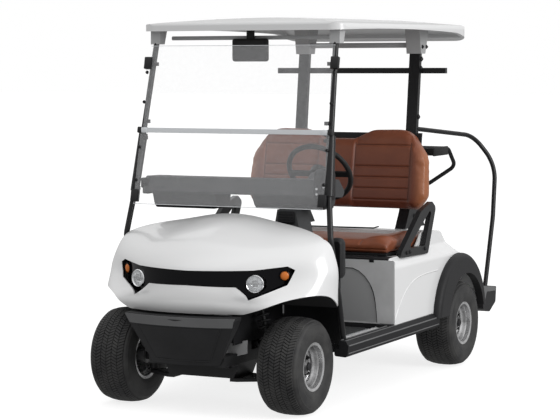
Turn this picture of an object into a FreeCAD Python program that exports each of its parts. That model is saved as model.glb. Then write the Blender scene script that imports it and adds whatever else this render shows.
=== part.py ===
import FreeCAD, Part
import math
import os
import Sketcher

# Two-seat electric golf cart, in millimetres.
# The front faces -Y, the driver's side is +X and +Z is up.
# The origin is on the ground, below the middle of the cart's overall box.

os.makedirs("parts", exist_ok=True)
doc = FreeCAD.newDocument("golf_cart")

# Driving dimensions
SIZES = {
    "front_axle_y": -950, "rear_axle_y": 750, "front_track": 890, "rear_track": 1050,
    "tyre_diameter": 457, "tyre_width": 215, "seat_radius": 103, "flange_radius": 114,
    "rim_width": 178, "rim_gauge": 4, "hub_radius": 38, "spindle_radius": 12, "running_gap": 0.05,
    "kingpin_x": 312, "kingpin_radius": 8, "knuckle_radius": 20,
    "knuckle_bottom": 170, "knuckle_top": 305, "arm_length": 100, "arm_thickness": 14,
    "rail_x": 175, "rail_width": 50, "rail_bottom": 235, "rail_height": 50,
    "body_wall": 6, "nose_radius": 590, "nose_centre_y": -588, "cowl_bottom": 488,
    "body_half_width": 600, "pod_front_y": -140, "pod_top": 654, "floor_z": 300,
    "cushion_half_width": 525, "cushion_front_y": -60, "cushion_depth": 460, "cushion_height": 92,
    "back_half_width": 520, "roof_half_width": 545, "roof_front_y": -645, "roof_rear_y": 1010,
    "pane_thickness": 5, "screen_half_width": 512, "hinge_bar_z": 1303,
    "steering_x": 250, "steering_y": -265, "steering_z": 1085, "steering_radius": 162,
    "steering_tilt": 35, "grip_radius": 13, "strut_radius": 14, "rack_z": 310, "rack_y": -850,
    "rack_bar_radius": 10, "housing_radius": 22, "rack_tube_radius": 12.5, "liner_radius": 346,
    "shelf_z": 566, "arch_radius": 268, "flare_radius": 346,
}
sheet = doc.addObject("Spreadsheet::Sheet", "sizes")
for row, (word, number) in enumerate(SIZES.items(), start=1):
    sheet.set("A%d" % row, word)
    sheet.set("B%d" % row, str(number))
    sheet.setAlias("B%d" % row, word)
doc.recompute()

SUBPARTS = []
AXLE_Z = SIZES["tyre_diameter"] / 2


def size(word):
    """A driving dimension, read back from the sheet."""
    return float(sheet.get(word))


def vector(x, y, z=0):
    return FreeCAD.Vector(x, y, z)


def named(thing, label):
    """Marks an object as a finished sub-part, whose label names its file."""
    thing.Label = label
    SUBPARTS.append(thing)
    return thing


def assign(feature, name, value):
    """A number is set; words are an expression on the sheet."""
    if isinstance(value, str):
        feature.setExpression(name, value)
    else:
        setattr(feature, name, value)


def new_body(name):
    return doc.addObject("PartDesign::Body", name)


def place(thing, x=0, y=0, z=0, turn=0, axis=(0, 0, 1)):
    """Puts an object; x, y and z may be expressions."""
    thing.Placement = FreeCAD.Placement(vector(0, 0, 0), FreeCAD.Rotation(vector(*axis), turn))
    for letter, value in (("x", x), ("y", y), ("z", z)):
        if isinstance(value, str):
            thing.setExpression("Placement.Base." + letter, value)
        else:
            setattr(thing.Placement.Base, letter, value)
    return thing


# Sketches


def origin_plane(owner, role):
    return [feature for feature in owner.Origin.OriginFeatures if feature.Role == role][0]


def new_sketch(owner, role, offset=0):
    """An empty sketch on one of the body's own planes, raised by the offset along its normal."""
    sketch = owner.newObject("Sketcher::SketchObject", owner.Name + "_sketch")
    sketch.AttachmentSupport = [(origin_plane(owner, role), "")]
    sketch.MapMode = "FlatFace"
    if isinstance(offset, str):
        sketch.setExpression("AttachmentOffset.Base.z", offset)
    else:
        sketch.AttachmentOffset = FreeCAD.Placement(vector(0, 0, offset), FreeCAD.Rotation())
    return sketch


def corner_arc(before, corner, after, radius):
    """Where a rounded corner leaves its two straight edges, and its arc's middle."""
    towards_before = (before - corner).normalize()
    towards_after = (after - corner).normalize()
    half_angle = towards_before.getAngle(towards_after) / 2
    reach = radius / math.tan(half_angle)
    inwards = (towards_before + towards_after).normalize()
    middle = corner + inwards * (radius / math.sin(half_angle) - radius)
    return corner + towards_before * reach, middle, corner + towards_after * reach


def draw(sketch, points):
    """Closed outline: (u, v) is a corner, (u, v, radius) a rounded one,
    and ("via", u, v) bends the edge around it through that point."""
    corners = []
    vias = {}
    for point in points:
        if point[0] == "via":
            vias[len(corners)] = vector(point[1], point[2])
        else:
            corners.append((vector(point[0], point[1]), point[2] if len(point) > 2 else 0))
    count = len(corners)
    starts = []
    ends = []
    rounds = []
    for index, (corner, radius) in enumerate(corners):
        if radius:
            arc = corner_arc(corners[index - 1][0], corner, corners[(index + 1) % count][0], radius)
            rounds.append(Part.Arc(*arc))
            ends.append(arc[0])
            starts.append(arc[2])
        else:
            rounds.append(None)
            ends.append(corner)
            starts.append(corner)
    for index in range(count):
        if rounds[index]:
            sketch.addGeometry(rounds[index], False)
        following = (index + 1) % count
        via = vias.get(index + 1)
        if via:
            sketch.addGeometry(Part.Arc(starts[index], via, ends[following]), False)
        elif (starts[index] - ends[following]).Length > 1e-6:
            sketch.addGeometry(Part.LineSegment(starts[index], ends[following]), False)


def outline(owner, role, points, offset=0):
    sketch = new_sketch(owner, role, offset)
    draw(sketch, points)
    return sketch


def mirrored(points):
    """The right half of an outline, from the centre line out, and its mirror image."""
    left = []
    for point in reversed(points):
        if point[0] == "via":
            left.append(("via", -point[1], point[2]))
        elif point[0]:
            left.append((-point[0],) + tuple(point[1:]))
    return list(points) + left


def circle(owner, role, radius, u=0, v=0, offset=0):
    """A circle whose radius and centre are bound to the sheet."""
    sketch = new_sketch(owner, role, offset)
    sketch.addGeometry(Part.Circle(vector(1, 1), vector(0, 0, 1), 10), False)
    for kind, value in (("DistanceX", u), ("DistanceY", v)):
        index = sketch.addConstraint(Sketcher.Constraint(kind, -1, 1, 0, 3, 1.0))
        if isinstance(value, str):
            sketch.setExpression("Constraints[%d]" % index, value)
        else:
            sketch.setDatum(index, FreeCAD.Units.Quantity(value))
    index = sketch.addConstraint(Sketcher.Constraint("Radius", 0, 10.0))
    if isinstance(radius, str):
        sketch.setExpression("Constraints[%d]" % index, radius)
    else:
        sketch.setDatum(index, FreeCAD.Units.Quantity(radius))
    return sketch


# Features


def pad(owner, sketch, length, both_ways=False):
    feature = owner.newObject("PartDesign::Pad", owner.Name + "_pad")
    feature.Profile = sketch
    assign(feature, "Length", length)
    feature.Midplane = both_ways
    return feature


def pocket(owner, sketch, length, both_ways=False, backwards=False):
    feature = owner.newObject("PartDesign::Pocket", owner.Name + "_pocket")
    feature.Profile = sketch
    assign(feature, "Length", length)
    feature.Midplane = both_ways
    feature.Reversed = backwards
    return feature


def revolve(owner, sketch, axis="H_Axis"):
    feature = owner.newObject("PartDesign::Revolution", owner.Name + "_revolve")
    feature.Profile = sketch
    feature.ReferenceAxis = (sketch, [axis])
    feature.Angle = 360
    return feature


def loft(owner, sketches, ruled=False):
    feature = owner.newObject("PartDesign::AdditiveLoft", owner.Name + "_loft")
    feature.Profile = sketches[0]
    feature.Sections = sketches[1:]
    feature.Ruled = ruled
    return feature


def cut(base, *tools):
    """The base object without the tools."""
    result = base
    for tool in tools:
        step = doc.addObject("Part::Cut", base.Name + "_cut")
        step.Base = result
        step.Tool = tool
        result = step
    return result


def fuse(*things):
    result = doc.addObject("Part::MultiFuse", things[0].Name + "_fuse")
    result.Shapes = list(things)
    return result


def common(first, second):
    result = doc.addObject("Part::Common", first.Name + "_common")
    result.Base = first
    result.Tool = second
    return result


def mirror_x(thing):
    """A copy on the other side of the cart."""
    result = doc.addObject("Part::Mirroring", thing.Name + "_mirror")
    result.Source = thing
    result.Normal = vector(1, 0, 0)
    return result


def both_sides(thing):
    result = doc.addObject("Part::Compound", thing.Name + "_pair")
    result.Links = [thing, mirror_x(thing)]
    return result


def prism(name, role, points, length, offset=0, both_ways=False):
    """A body that is one padded outline."""
    owner = new_body(name)
    pad(owner, outline(owner, role, points, offset), length, both_ways)
    return owner


def box(name, low, high):
    made = doc.addObject("Part::Box", name)
    made.Length, made.Width, made.Height = [high[i] - low[i] for i in range(3)]
    made.Placement.Base = vector(*low)
    return made


def bar(name, start, end, radius):
    """A round bar between two points."""
    made = doc.addObject("Part::Cylinder", name)
    along = vector(*end) - vector(*start)
    assign(made, "Radius", radius)
    made.Height = along.Length
    made.Placement = FreeCAD.Placement(vector(*start), FreeCAD.Rotation(vector(0, 0, 1), along))
    return made


def tube(name, points, radius, bend):
    """A round tube along straight runs, joined by tangent arcs of the bend radius, or of a point's own."""
    places = [vector(*point[:3]) for point in points]
    edges = []
    start = places[0]
    for point, before, corner, after in zip(points[1:], places, places[1:], places[2:]):
        leave, middle, resume = corner_arc(before, corner, after, point[3] if len(point) > 3 else bend)
        edges.append(Part.LineSegment(start, leave).toShape())
        edges.append(Part.Arc(leave, middle, resume).toShape())
        start = resume
    edges.append(Part.LineSegment(start, places[-1]).toShape())
    spine = doc.addObject("Part::Feature", name + "_path")
    spine.Shape = Part.Wire(edges)
    section = doc.addObject("Part::Circle", name + "_section")
    assign(section, "Radius", radius)
    section.Placement = FreeCAD.Placement(
        places[0], FreeCAD.Rotation(vector(0, 0, 1), places[1] - places[0]))
    made = doc.addObject("Part::Sweep", name)
    made.Sections = [section]
    made.Spine = (spine, ["Edge%d" % (index + 1) for index in range(len(edges))])
    made.Solid = True
    made.Frenet = False
    made.Transition = "Right corner"
    return made


# Wheels


def tyre(label, x, y):
    """A low golf tyre: a C-shaped ring that seats on the rim's two bead seats."""
    half = size("tyre_width") / 2
    outer = size("tyre_diameter") / 2
    seat = size("seat_radius")
    owner = new_body(label)
    points = mirrored([
        (0, outer - 14), (half - 30, outer - 18), (half - 14, 182), (half - 14, 140), (half - 34, seat),
        (half - 20, seat), (half, 138, 30), (half, 192, 26), (half - 22, outer - 7, 14), (0, outer)])
    revolve(owner, outline(owner, "XY_Plane", points))
    return place(owner, x, y, AXLE_Z)


def rim(label, x, y, turn):
    """A steel rim in one with its hub: flanges, bead seats, well, dished disc and hub barrel."""
    flange = size("flange_radius")
    seat = size("seat_radius")
    gauge = size("rim_gauge")
    half = size("rim_width") / 2
    hub = size("hub_radius")
    bore = size("spindle_radius") + size("running_gap")
    owner = new_body(label)
    points = [
        (-half - 3, flange), (-half, seat + 4), (-half + 4, seat), (-half + 17, seat), (-half + 27, 90),
        (half - 46, 90), (half - 17, seat), (half - 4, seat), (half, seat + 4), (half + 3, flange),
        (half + 7, flange), (half + 4, seat - gauge + 2), (half - 16, seat - gauge),
        (half - 45, 90 - gauge), (34, 90 - gauge), (26, 66), (34, 58), (34, hub), (60, hub - 8),
        (66, 20), (66, 0), (26, 0), (26, bore), (-96, bore), (-96, hub), (24, hub), (24, 56), (16, 66),
        (24, 90 - gauge), (-half + 26, 90 - gauge), (-half + 16, seat - gauge), (-half - 4, seat - gauge + 2),
        (-half - 7, flange)]
    revolve(owner, outline(owner, "XY_Plane", points))
    return place(owner, x, y, AXLE_Z, turn)


for side, sign, turn in (("left", "", 0), ("right", "-", 180)):
    for end in ("front", "rear"):
        wheel_x = "%ssizes.%s_track / 2" % (sign, end)
        wheel_y = "sizes.%s_axle_y" % end
        wheel_rim = rim("rim_form", wheel_x, wheel_y, turn)
        named(cut(tyre("tyre_form", wheel_x, wheel_y), wheel_rim), "tyre_%s_%s" % (end, side))
        named(wheel_rim, "rim_%s_%s" % (end, side))

# Steering knuckles, kingpins and lower arms
FRONT_Y = size("front_axle_y")
KINGPIN_X = size("kingpin_x")
SHELF_Z = size("shelf_z")
WHEEL_X = size("front_track") / 2
ARM_TIP_X = KINGPIN_X - 10
KNUCKLE_TOP = size("knuckle_top")
TOWER_Z = KNUCKLE_TOP + 277


def knuckle():
    low = size("knuckle_bottom")
    boss = bar("knuckle_boss", (KINGPIN_X, FRONT_Y, low), (KINGPIN_X, FRONT_Y, KNUCKLE_TOP), "sizes.knuckle_radius")
    arm_end = FRONT_Y + size("arm_length") + 13
    spindle = bar("spindle", (KINGPIN_X, FRONT_Y, AXLE_Z), (WHEEL_X + 20, FRONT_Y, AXLE_Z),
                  "sizes.spindle_radius")
    shoulder = bar("spindle_shoulder", (KINGPIN_X, FRONT_Y, AXLE_Z), (WHEEL_X - 100, FRONT_Y, AXLE_Z), 19)
    arm = prism("steering_arm", "XY_Plane", [
        (ARM_TIP_X - 13, arm_end, 10), (ARM_TIP_X + 13, arm_end, 10),
        (KINGPIN_X + 16, FRONT_Y), (KINGPIN_X - 16, FRONT_Y)], "sizes.arm_thickness", "sizes.knuckle_top - 19")
    bore = bar("kingpin_bore", (KINGPIN_X, FRONT_Y, 100), (KINGPIN_X, FRONT_Y, 400),
               "sizes.kingpin_radius + sizes.running_gap")
    return cut(fuse(boss, spindle, shoulder, arm), bore)


left_knuckle = knuckle()
named(left_knuckle, "knuckle_left")
named(mirror_x(left_knuckle), "knuckle_right")


def lower_arm():
    """A pressed wishbone with its kingpin, bolted under the front subframe."""
    plate = prism("wishbone", "XY_Plane", [
        (150, FRONT_Y - 95), (185, FRONT_Y - 95), (KINGPIN_X + 8, FRONT_Y - 18, 12), (KINGPIN_X + 18, FRONT_Y, 12),
        (KINGPIN_X + 8, FRONT_Y + 18, 12), (185, FRONT_Y + 95), (150, FRONT_Y + 95)], 16, 148)
    window = prism("wishbone_window", "XY_Plane", [
        (196, FRONT_Y - 62, 8), (196, FRONT_Y + 62, 8), (276, FRONT_Y + 15, 8), (276, FRONT_Y - 15, 8)], 60, 130)
    pin = bar("kingpin", (KINGPIN_X, FRONT_Y, 150), (KINGPIN_X, FRONT_Y, KNUCKLE_TOP + 20), "sizes.kingpin_radius")
    return fuse(cut(plate, window), pin)


def front_damper():
    """A coil-over strut from the top of the kingpin up to the tower on the frame."""
    low = (KINGPIN_X, FRONT_Y, KNUCKLE_TOP + 6)
    middle = (KINGPIN_X - 22, FRONT_Y, KNUCKLE_TOP + 100)
    high = (KINGPIN_X - 58, FRONT_Y, KNUCKLE_TOP + 262)
    clevis = bar("damper_clevis", low, (KINGPIN_X, FRONT_Y, KNUCKLE_TOP + 30), 14)
    cylinder = bar("damper_body", (KINGPIN_X, FRONT_Y, KNUCKLE_TOP + 24), middle, 17)
    rod = bar("damper_rod", middle, tuple(vector(*high) * 1.1 - vector(*middle) * 0.1), 9)
    above = box("damper_above", (150, FRONT_Y - 60, TOWER_Z), (350, FRONT_Y + 60, TOWER_Z + 60))
    parts = [clevis, cylinder, rod]
    coils = 7
    for coil in range(coils):
        share = coil / (coils - 1)
        ring = doc.addObject("Part::Torus", "damper_coil")
        ring.Radius1 = 26
        ring.Radius2 = 5
        spot = vector(*middle) * (1 - share) + vector(*high) * share
        ring.Placement = FreeCAD.Placement(
            spot, FreeCAD.Rotation(vector(0, 0, 1), vector(*high) - vector(*middle)))
        plate = bar("damper_web", tuple(spot - vector(0, 0, 1)), tuple(spot + vector(0, 0, 1)), 24)
        parts += [ring, plate]
    return cut(fuse(*parts), above)


named(both_sides(fuse(lower_arm(), front_damper())), "front_suspension")

# Chassis frame: two box rails, cross members, spring outriggers and damper towers
RAIL_LOW = size("rail_bottom")
RAIL_TOP = RAIL_LOW + size("rail_height")
RAIL_OUT = size("rail_x") + size("rail_width") / 2
RAIL_IN = size("rail_x") - size("rail_width") / 2


def rail():
    """One long rail, cranked up over the rear axle."""
    owner = prism("rail", "YZ_Plane", [
        (-1170, RAIL_LOW), (460, RAIL_LOW), (560, RAIL_LOW + 90), (1180, RAIL_LOW + 90), (1180, RAIL_TOP + 90),
        (540, RAIL_TOP + 90), (440, RAIL_TOP), (-1170, RAIL_TOP)],
        "sizes.rail_width", "sizes.rail_x - sizes.rail_width / 2")
    return owner


def chassis_frame():
    rails = [rail()]
    rails.append(mirror_x(rails[0]))
    members = [
        box("front_member", (-RAIL_OUT, -1190, RAIL_LOW), (RAIL_OUT, -1160, RAIL_TOP)),
        box("toe_member", (-545, -610, RAIL_LOW + 12), (545, -570, RAIL_TOP)),
        box("seat_member", (-545, -120, RAIL_LOW + 12), (545, -80, RAIL_TOP)),
        box("spring_member", (-370, 395, RAIL_LOW + 10), (370, 430, RAIL_TOP - 5)),
        box("tail_member", (-370, 1060, RAIL_LOW + 95), (370, 1100, RAIL_TOP + 85)),
        box("shock_member", (-325, 842, 340), (325, 876, 372)),
        box("rear_member", (-RAIL_OUT, 1150, RAIL_LOW + 90), (RAIL_OUT, 1180, RAIL_TOP + 90))]
    tower = prism("tower", "XZ_Plane", [
        (RAIL_IN, RAIL_TOP - 5), (RAIL_OUT, RAIL_TOP - 5), (RAIL_OUT + 6, TOWER_Z - 22), (222, TOWER_Z),
        (290, TOWER_Z), (290, TOWER_Z + 12), (RAIL_IN, TOWER_Z + 12)], 60, "-sizes.front_axle_y - 30")
    bridge = box("tower_bridge", (-RAIL_IN - 5, FRONT_Y - 25, TOWER_Z - 28),
                 (RAIL_IN + 5, FRONT_Y + 25, TOWER_Z + 12))
    subframe = prism("subframe", "XZ_Plane", [
        (-RAIL_OUT, RAIL_LOW), (-172, 164), (172, 164), (RAIL_OUT, RAIL_LOW)], 200, "-sizes.front_axle_y - 100")
    return fuse(*rails, *members, tower, mirror_x(tower), bridge, subframe)


FRAME = named(chassis_frame(), "chassis_frame")

# Rack and tie rods
RACK_Z = size("rack_z")
RACK_Y = size("rack_y")


def rack_housing():
    owner = new_body("rack_housing")
    pad(owner, circle(owner, "YZ_Plane", "sizes.housing_radius", "sizes.rack_y", "sizes.rack_z"), 420, True)
    feet = outline(owner, "YZ_Plane", [
        (RACK_Y - 18, RAIL_TOP), (RACK_Y + 18, RAIL_TOP), (RACK_Y + 18, RACK_Z), (RACK_Y - 18, RACK_Z)])
    pad(owner, feet, 390, True)
    bore = circle(owner, "YZ_Plane", "sizes.rack_bar_radius + 0.5", "sizes.rack_y", "sizes.rack_z")
    pocket(owner, bore, 500, True)
    return owner


def tie_rods():
    """The rack bar with a ball end above each steering arm."""
    rod = bar("rack_bar", (-ARM_TIP_X, RACK_Y, RACK_Z), (ARM_TIP_X, RACK_Y, RACK_Z), "sizes.rack_bar_radius")
    end = bar("rod_end", (ARM_TIP_X, RACK_Y, RACK_Z - 5), (ARM_TIP_X, RACK_Y, RACK_Z + 12), 14)
    return fuse(rod, end, mirror_x(end))


named(rack_housing(), "rack_housing")
named(tie_rods(), "tie_rods")

# Rear axle, motor, springs and dampers
REAR_Y = size("rear_axle_y")
REAR_X = size("rear_track") / 2
MOTOR_Y = REAR_Y - 182
MOTOR_Z = AXLE_Z + 14
MOTOR_X = -52


def rear_axle():
    casing = bar("axle_casing", (-REAR_X + 110, REAR_Y, AXLE_Z), (REAR_X - 110, REAR_Y, AXLE_Z), 32)
    shaft = bar("axle_shaft", (-REAR_X - 20, REAR_Y, AXLE_Z), (REAR_X + 20, REAR_Y, AXLE_Z),
                "sizes.spindle_radius")
    case = new_body("differential_case")
    profile = outline(case, "XY_Plane", [
        (-70, 0), (-70, 55), (-40, 92, 20), (60, 92, 20), (95, 55), (95, 0)])
    revolve(case, profile)
    place(case, 0, "sizes.rear_axle_y", AXLE_Z)
    drop = prism("gear_drop", "YZ_Plane", [
        (MOTOR_Y - 62, MOTOR_Z - 58, 40), (MOTOR_Y - 62, MOTOR_Z + 58, 40), (REAR_Y + 40, AXLE_Z + 70, 40),
        (REAR_Y + 60, AXLE_Z - 60, 40)], 46, MOTOR_X - 46)
    backing = bar("brake_plate", (REAR_X - 118, REAR_Y, AXLE_Z), (REAR_X - 104, REAR_Y, AXLE_Z), 80)
    return fuse(casing, shaft, case, drop, backing, mirror_x(backing))


def drive_motor():
    """The motor lies ahead of the axle and parallel to it, bolted to the gear case."""
    owner = new_body("drive_motor")
    ribs = 6
    start = MOTOR_X
    points = [(start, 0), (start, 84), (start + 14, 84), (start + 14, 76)]
    for rib in range(ribs):
        left = start + 26 + 24 * rib
        points += [(left, 76), (left, 82), (left + 10, 82), (left + 10, 76)]
    points += [(start + 170, 76), (start + 178, 58), (start + 178, 0)]
    revolve(owner, outline(owner, "XY_Plane", points))
    return place(owner, 0, MOTOR_Y, MOTOR_Z)


def leaf_spring():
    """Three leaves over the axle tube, with their hanger eyes and axle clamp."""
    leaves = prism("leaves", "YZ_Plane", [
        (405, 232), ("via", REAR_Y, 262), (1095, 322), (1095, 330), ("via", REAR_Y, 286), (405, 240)], 50, 325)
    front_eye = box("front_hanger", (325, 398, 228), (375, 428, 250))
    rear_eye = box("rear_hanger", (325, 1066, 318), (375, 1095, 334))
    clamp = box("spring_clamp", (322, REAR_Y - 45, AXLE_Z + 20), (378, REAR_Y + 45, 292))
    return fuse(leaves, front_eye, rear_eye, clamp)


def rear_damper():
    eye = bar("shock_eye", (285, REAR_Y + 50, AXLE_Z - 6), (315, REAR_Y + 50, AXLE_Z - 6), 14)
    barrel = bar("shock_barrel", (300, REAR_Y + 50, AXLE_Z), (300, REAR_Y + 90, 326), 18)
    rod = bar("shock_rod", (300, REAR_Y + 90, 325), (300, REAR_Y + 106, 350), 8)
    link = box("shock_link", (286, REAR_Y, AXLE_Z - 20), (314, REAR_Y + 50, AXLE_Z + 6))
    return fuse(eye, barrel, rod, link)


axle = named(rear_axle(), "rear_axle")
named(drive_motor(), "drive_motor")
named(both_sides(cut(fuse(leaf_spring(), rear_damper()), axle, FRAME)), "rear_suspension")
named(box("battery_pack_block", (-285, -70, RAIL_TOP), (285, 330, 560)), "battery_pack")

# Front cowl: one moulded shell whose upright sections stand like a fan round the nose's centre
NOSE_R = size("nose_radius")
NOSE_Y = size("nose_centre_y")
COWL_LOW = size("cowl_bottom") - 10
COWL_CORE = 90

# Each section's angle from straight ahead, and its (distance from the centre, height) from the lip up:
# lip, bulge, under the lamp band, over it, brow, shoulder, hood and the hood's rear
COWL = [
    (0, [(662, COWL_LOW), (674, 528), (598, 608), (588, 675), (566, 708), (470, 788), (312, 861)]),
    (15, [(664, COWL_LOW), (676, 528), (598, 604), (588, 678), (567, 712), (470, 789), (312, 860)]),
    (30, [(666, COWL_LOW), (676, 522), (604, 570), (590, 684), (570, 722), (475, 792), (318, 858)]),
    (45, [(662, COWL_LOW), (676, 548), (612, 618), (600, 698), (580, 736), (485, 802), (325, 859)]),
    (60, [(655, COWL_LOW), (664, 560), (654, 640), (636, 700), (604, 762), (520, 818), (340, 866)]),
    (75, [(590, COWL_LOW), (594, 560), (594, 650), (590, 735), (576, 806), (505, 838), (340, 872)]),
    (90, [(570, COWL_LOW), (572, 560), (572, 650), (570, 750), (556, 818), (490, 846), (340, 876)])]
COWL_TOP = [(200, 894), (COWL_CORE, 910)]


def inset_line(points, inset):
    """The same open line, moved to its inner side."""
    spots = [vector(*point) for point in points]
    moved = []
    for index, spot in enumerate(spots):
        along = spots[min(index + 1, len(spots) - 1)] - spots[max(index - 1, 0)]
        moved.append(spot + vector(-along.y, along.x).normalize() * inset)
    return moved


def fan_sketch(owner, angle, points):
    """A section upright in the plane that the angle gives, with its core edge on the nose's centre line."""
    sketch = new_sketch(owner, "XZ_Plane")
    turn = FreeCAD.Rotation(vector(0, 1, 0), angle - 90)
    sketch.AttachmentOffset = FreeCAD.Placement(vector(0, 0, -NOSE_Y), turn)
    curve = Part.BSplineCurve()
    curve.interpolate(points)
    foot = vector(points[-1].x, points[0].y)
    sketch.addGeometry(curve, False)
    sketch.addGeometry(Part.LineSegment(points[-1], foot), False)
    sketch.addGeometry(Part.LineSegment(foot, points[0]), False)
    return sketch


def cowl_form(inset):
    """The cowl as a solid, the inset smaller all round."""
    owner = new_body("cowl_form")
    fan = [(-angle, points) for angle, points in reversed(COWL[1:])] + COWL
    loft(owner, [fan_sketch(owner, angle, inset_line(points + COWL_TOP, inset)) for angle, points in fan])
    return owner


BAND_HALF = [(0, 676), (300, 681), (435, 697), (465, 680), (440, 612), (300, 547), (228, 603), (0, 608)]
BAND = BAND_HALF + [(-x, z) for x, z in reversed(BAND_HALF) if x]
COWL_REAR_R = 1511
COWL_REAR_Y = -715 - COWL_REAR_R
TRIM_X = 530


def rear_trim():
    """What is cut away behind the hood's curved rear edge and behind the raked ends of the flanks."""
    behind = box("trim_behind", (-TRIM_X, -900, 400), (TRIM_X, -500, 1000))
    sweep = doc.addObject("Part::Cylinder", "trim_sweep")
    sweep.Radius = COWL_REAR_R
    sweep.Height = 900
    sweep.Placement.Base = vector(0, COWL_REAR_Y, 300)
    flank = prism("trim_flank", "YZ_Plane", [
        (-811, 1000), (-811, 825), (-757, 510), (-757, 400), (-480, 400), (-480, 1000)], 200, TRIM_X)
    return cut(behind, sweep), flank, mirror_x(flank)


def front_cowl():
    below = box("cowl_below", (-700, -1400, 380), (700, -500, size("cowl_bottom")))
    opening = prism("band_opening", "XZ_Plane", BAND, 500, 880)
    arch = prism("front_arch", "YZ_Plane", [
        (-1200, 480), ("via", -980, 562), (-742, 480)], 800, 230)
    return cut(cowl_form(0), cowl_form(size("body_wall")), below, opening, arch, mirror_x(arch), *rear_trim())


COWL_SHELL = named(front_cowl(), "front_cowl")


def ring_piece(name, outline_points, outer_inset, inner_inset):
    """A panel that follows the nose: a slice of the ring between two insets."""
    face = prism(name + "_face", "XZ_Plane", outline_points, 400, 850)
    ring_owner = new_body(name + "_ring")
    pad(ring_owner, circle(ring_owner, "XY_Plane", NOSE_R - outer_inset, 0, "sizes.nose_centre_y", 500), 300)
    pocket(ring_owner, circle(ring_owner, "XY_Plane", NOSE_R - inner_inset, 0, "sizes.nose_centre_y", 500), 300,
           backwards=True)
    return common(face, ring_owner)


# Lamps: name, x, z, radius, front, back
LAMPS = [("headlamp", 310, 619, 42, -1114, -1040), ("indicator", 421, 653, 24, -1016, -940)]


def lamp(name, x, z, radius, front, back):
    """A round lamp with a domed lens, facing straight forward out of the band."""
    owner = new_body(name)
    dome = radius * 0.35
    profile = outline(owner, "XY_Plane", [
        (0, back), (0, front), ("via", radius * 0.6, front + dome * 0.25), (radius, front + dome), (radius, back)])
    revolve(owner, profile, "V_Axis")
    place(owner, x, 0, z)
    return owner


def lamp_band():
    holes = []
    for name, x, z, radius, front, back in LAMPS:
        hole = bar(name + "_hole", (x, -1300, z), (x, -800, z), radius + 0.4)
        holes += [hole, mirror_x(hole)]
    behind = [(x, z - 16 if z < 650 else z) for x, z in BAND]
    return cut(ring_piece("lamp_band", behind, 7, 14), COWL_SHELL, *holes)


LAMP_PANEL = named(lamp_band(), "lamp_band")
for lamp_row in LAMPS:
    named(both_sides(lamp(*lamp_row)), lamp_row[0] + "s")

# Front bumper and wheel liners


def front_bumper():
    owner = new_body("bumper_form")
    sections = []
    for level, half, front in ((245, 178, -1240), (440, 278, -1292), (462, 288, -1300), (478, 288, -1290)):
        sections.append(outline(owner, "XY_Plane", mirrored([
            (0, -1190), (half, -1190), (half, front + 46), ("via", half * 0.55, front + 14), (0, front)]), level))
    loft(owner, sections, ruled=True)
    inner = new_body("bumper_inner")
    sections = []
    for level, half, front in ((240, 170, -1232), (440, 270, -1284), (470, 280, -1290)):
        sections.append(outline(inner, "XY_Plane", mirrored([
            (0, -1180), (half, -1180), (half, front + 46), ("via", half * 0.55, front + 14), (0, front)]), level))
    loft(inner, sections, ruled=True)
    recess = prism("bumper_recess", "XZ_Plane", [
        (-215, 425, 10), (-140, 275, 14), (140, 275, 14), (215, 425, 10)], 40, 1276)
    return cut(owner, inner, recess)


named(front_bumper(), "front_bumper")


def wheel_liner():
    """A dark liner over the steered wheel: vault, inner wall and a leg shield round behind the tyre."""
    drum = new_body("liner_shield")
    outside = circle(drum, "XY_Plane", "sizes.liner_radius + 5", "sizes.kingpin_x", "sizes.front_axle_y", 300)
    pad(drum, outside, 490)
    pocket(drum, circle(drum, "XY_Plane", "sizes.liner_radius", "sizes.kingpin_x", "sizes.front_axle_y", 300), 490,
           backwards=True)
    sector = prism("liner_sector", "XZ_Plane", [
        (222, 250), (222, SHELF_Z), (490, SHELF_Z, 40), (510, 790, 30), (566, 790, 20), (566, 250)], 240, 560)
    vault = prism("liner_vault", "YZ_Plane", [
        (-1196, 482), ("via", -980, 560), (-746, 482), (-742, 488), ("via", -980, 565), (-1200, 488)], 350, 222)
    damper_hole = bar("damper_hole", (258, FRONT_Y, 400), (258, FRONT_Y, 700), 46)
    roof = cut(common(vault, cowl_form(size("body_wall") + 0.5)), damper_hole)
    wall = box("liner_wall", (222, -1150, 336), (227, -640, 530))
    return fuse(common(drum, sector), roof, wall)


# Floor, mat, sills and pedals
FLOOR = size("floor_z")
POD_Y = size("pod_front_y")


def floor_pan():
    """Floor, toe board, a shelf over each liner and the bulkhead that closes the cowl's back."""
    deck = prism("floor_deck", "YZ_Plane", [
        (POD_Y, FLOOR - 15), (POD_Y, FLOOR), (-585, FLOOR), (-690, 500), (-729, 530), (-735, 530), (-700, 492),
        (-596, FLOOR - 15)], 1080, 0, True)
    tyre_room = doc.addObject("Part::Cylinder", "tyre_room")
    tyre_room.setExpression("Radius", "sizes.liner_radius + 5.5")
    tyre_room.Height = SHELF_Z - 200
    tyre_room.Placement.Base = vector(KINGPIN_X, FRONT_Y, 200)
    shelf = prism("floor_shelf", "XY_Plane", [
        (215, -750), (215, -590), (400, -606), (470, -640), (555, -705), (555, -846)], 6, "sizes.shelf_z")
    ring = new_body("bulkhead_ring")
    pad(ring, circle(ring, "XY_Plane", COWL_REAR_R - 14, 0, COWL_REAR_Y, SHELF_Z), 450)
    pocket(ring, circle(ring, "XY_Plane", COWL_REAR_R - 20, 0, COWL_REAR_Y, SHELF_Z), 450, backwards=True)
    middle = box("bulkhead_middle", (-228, -735, 520), (228, -729, SHELF_Z + 20))
    bulkhead = common(ring, cowl_form(size("body_wall")))
    return fuse(cut(deck, tyre_room, mirror_x(tyre_room)), shelf, mirror_x(shelf), bulkhead, middle)


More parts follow.
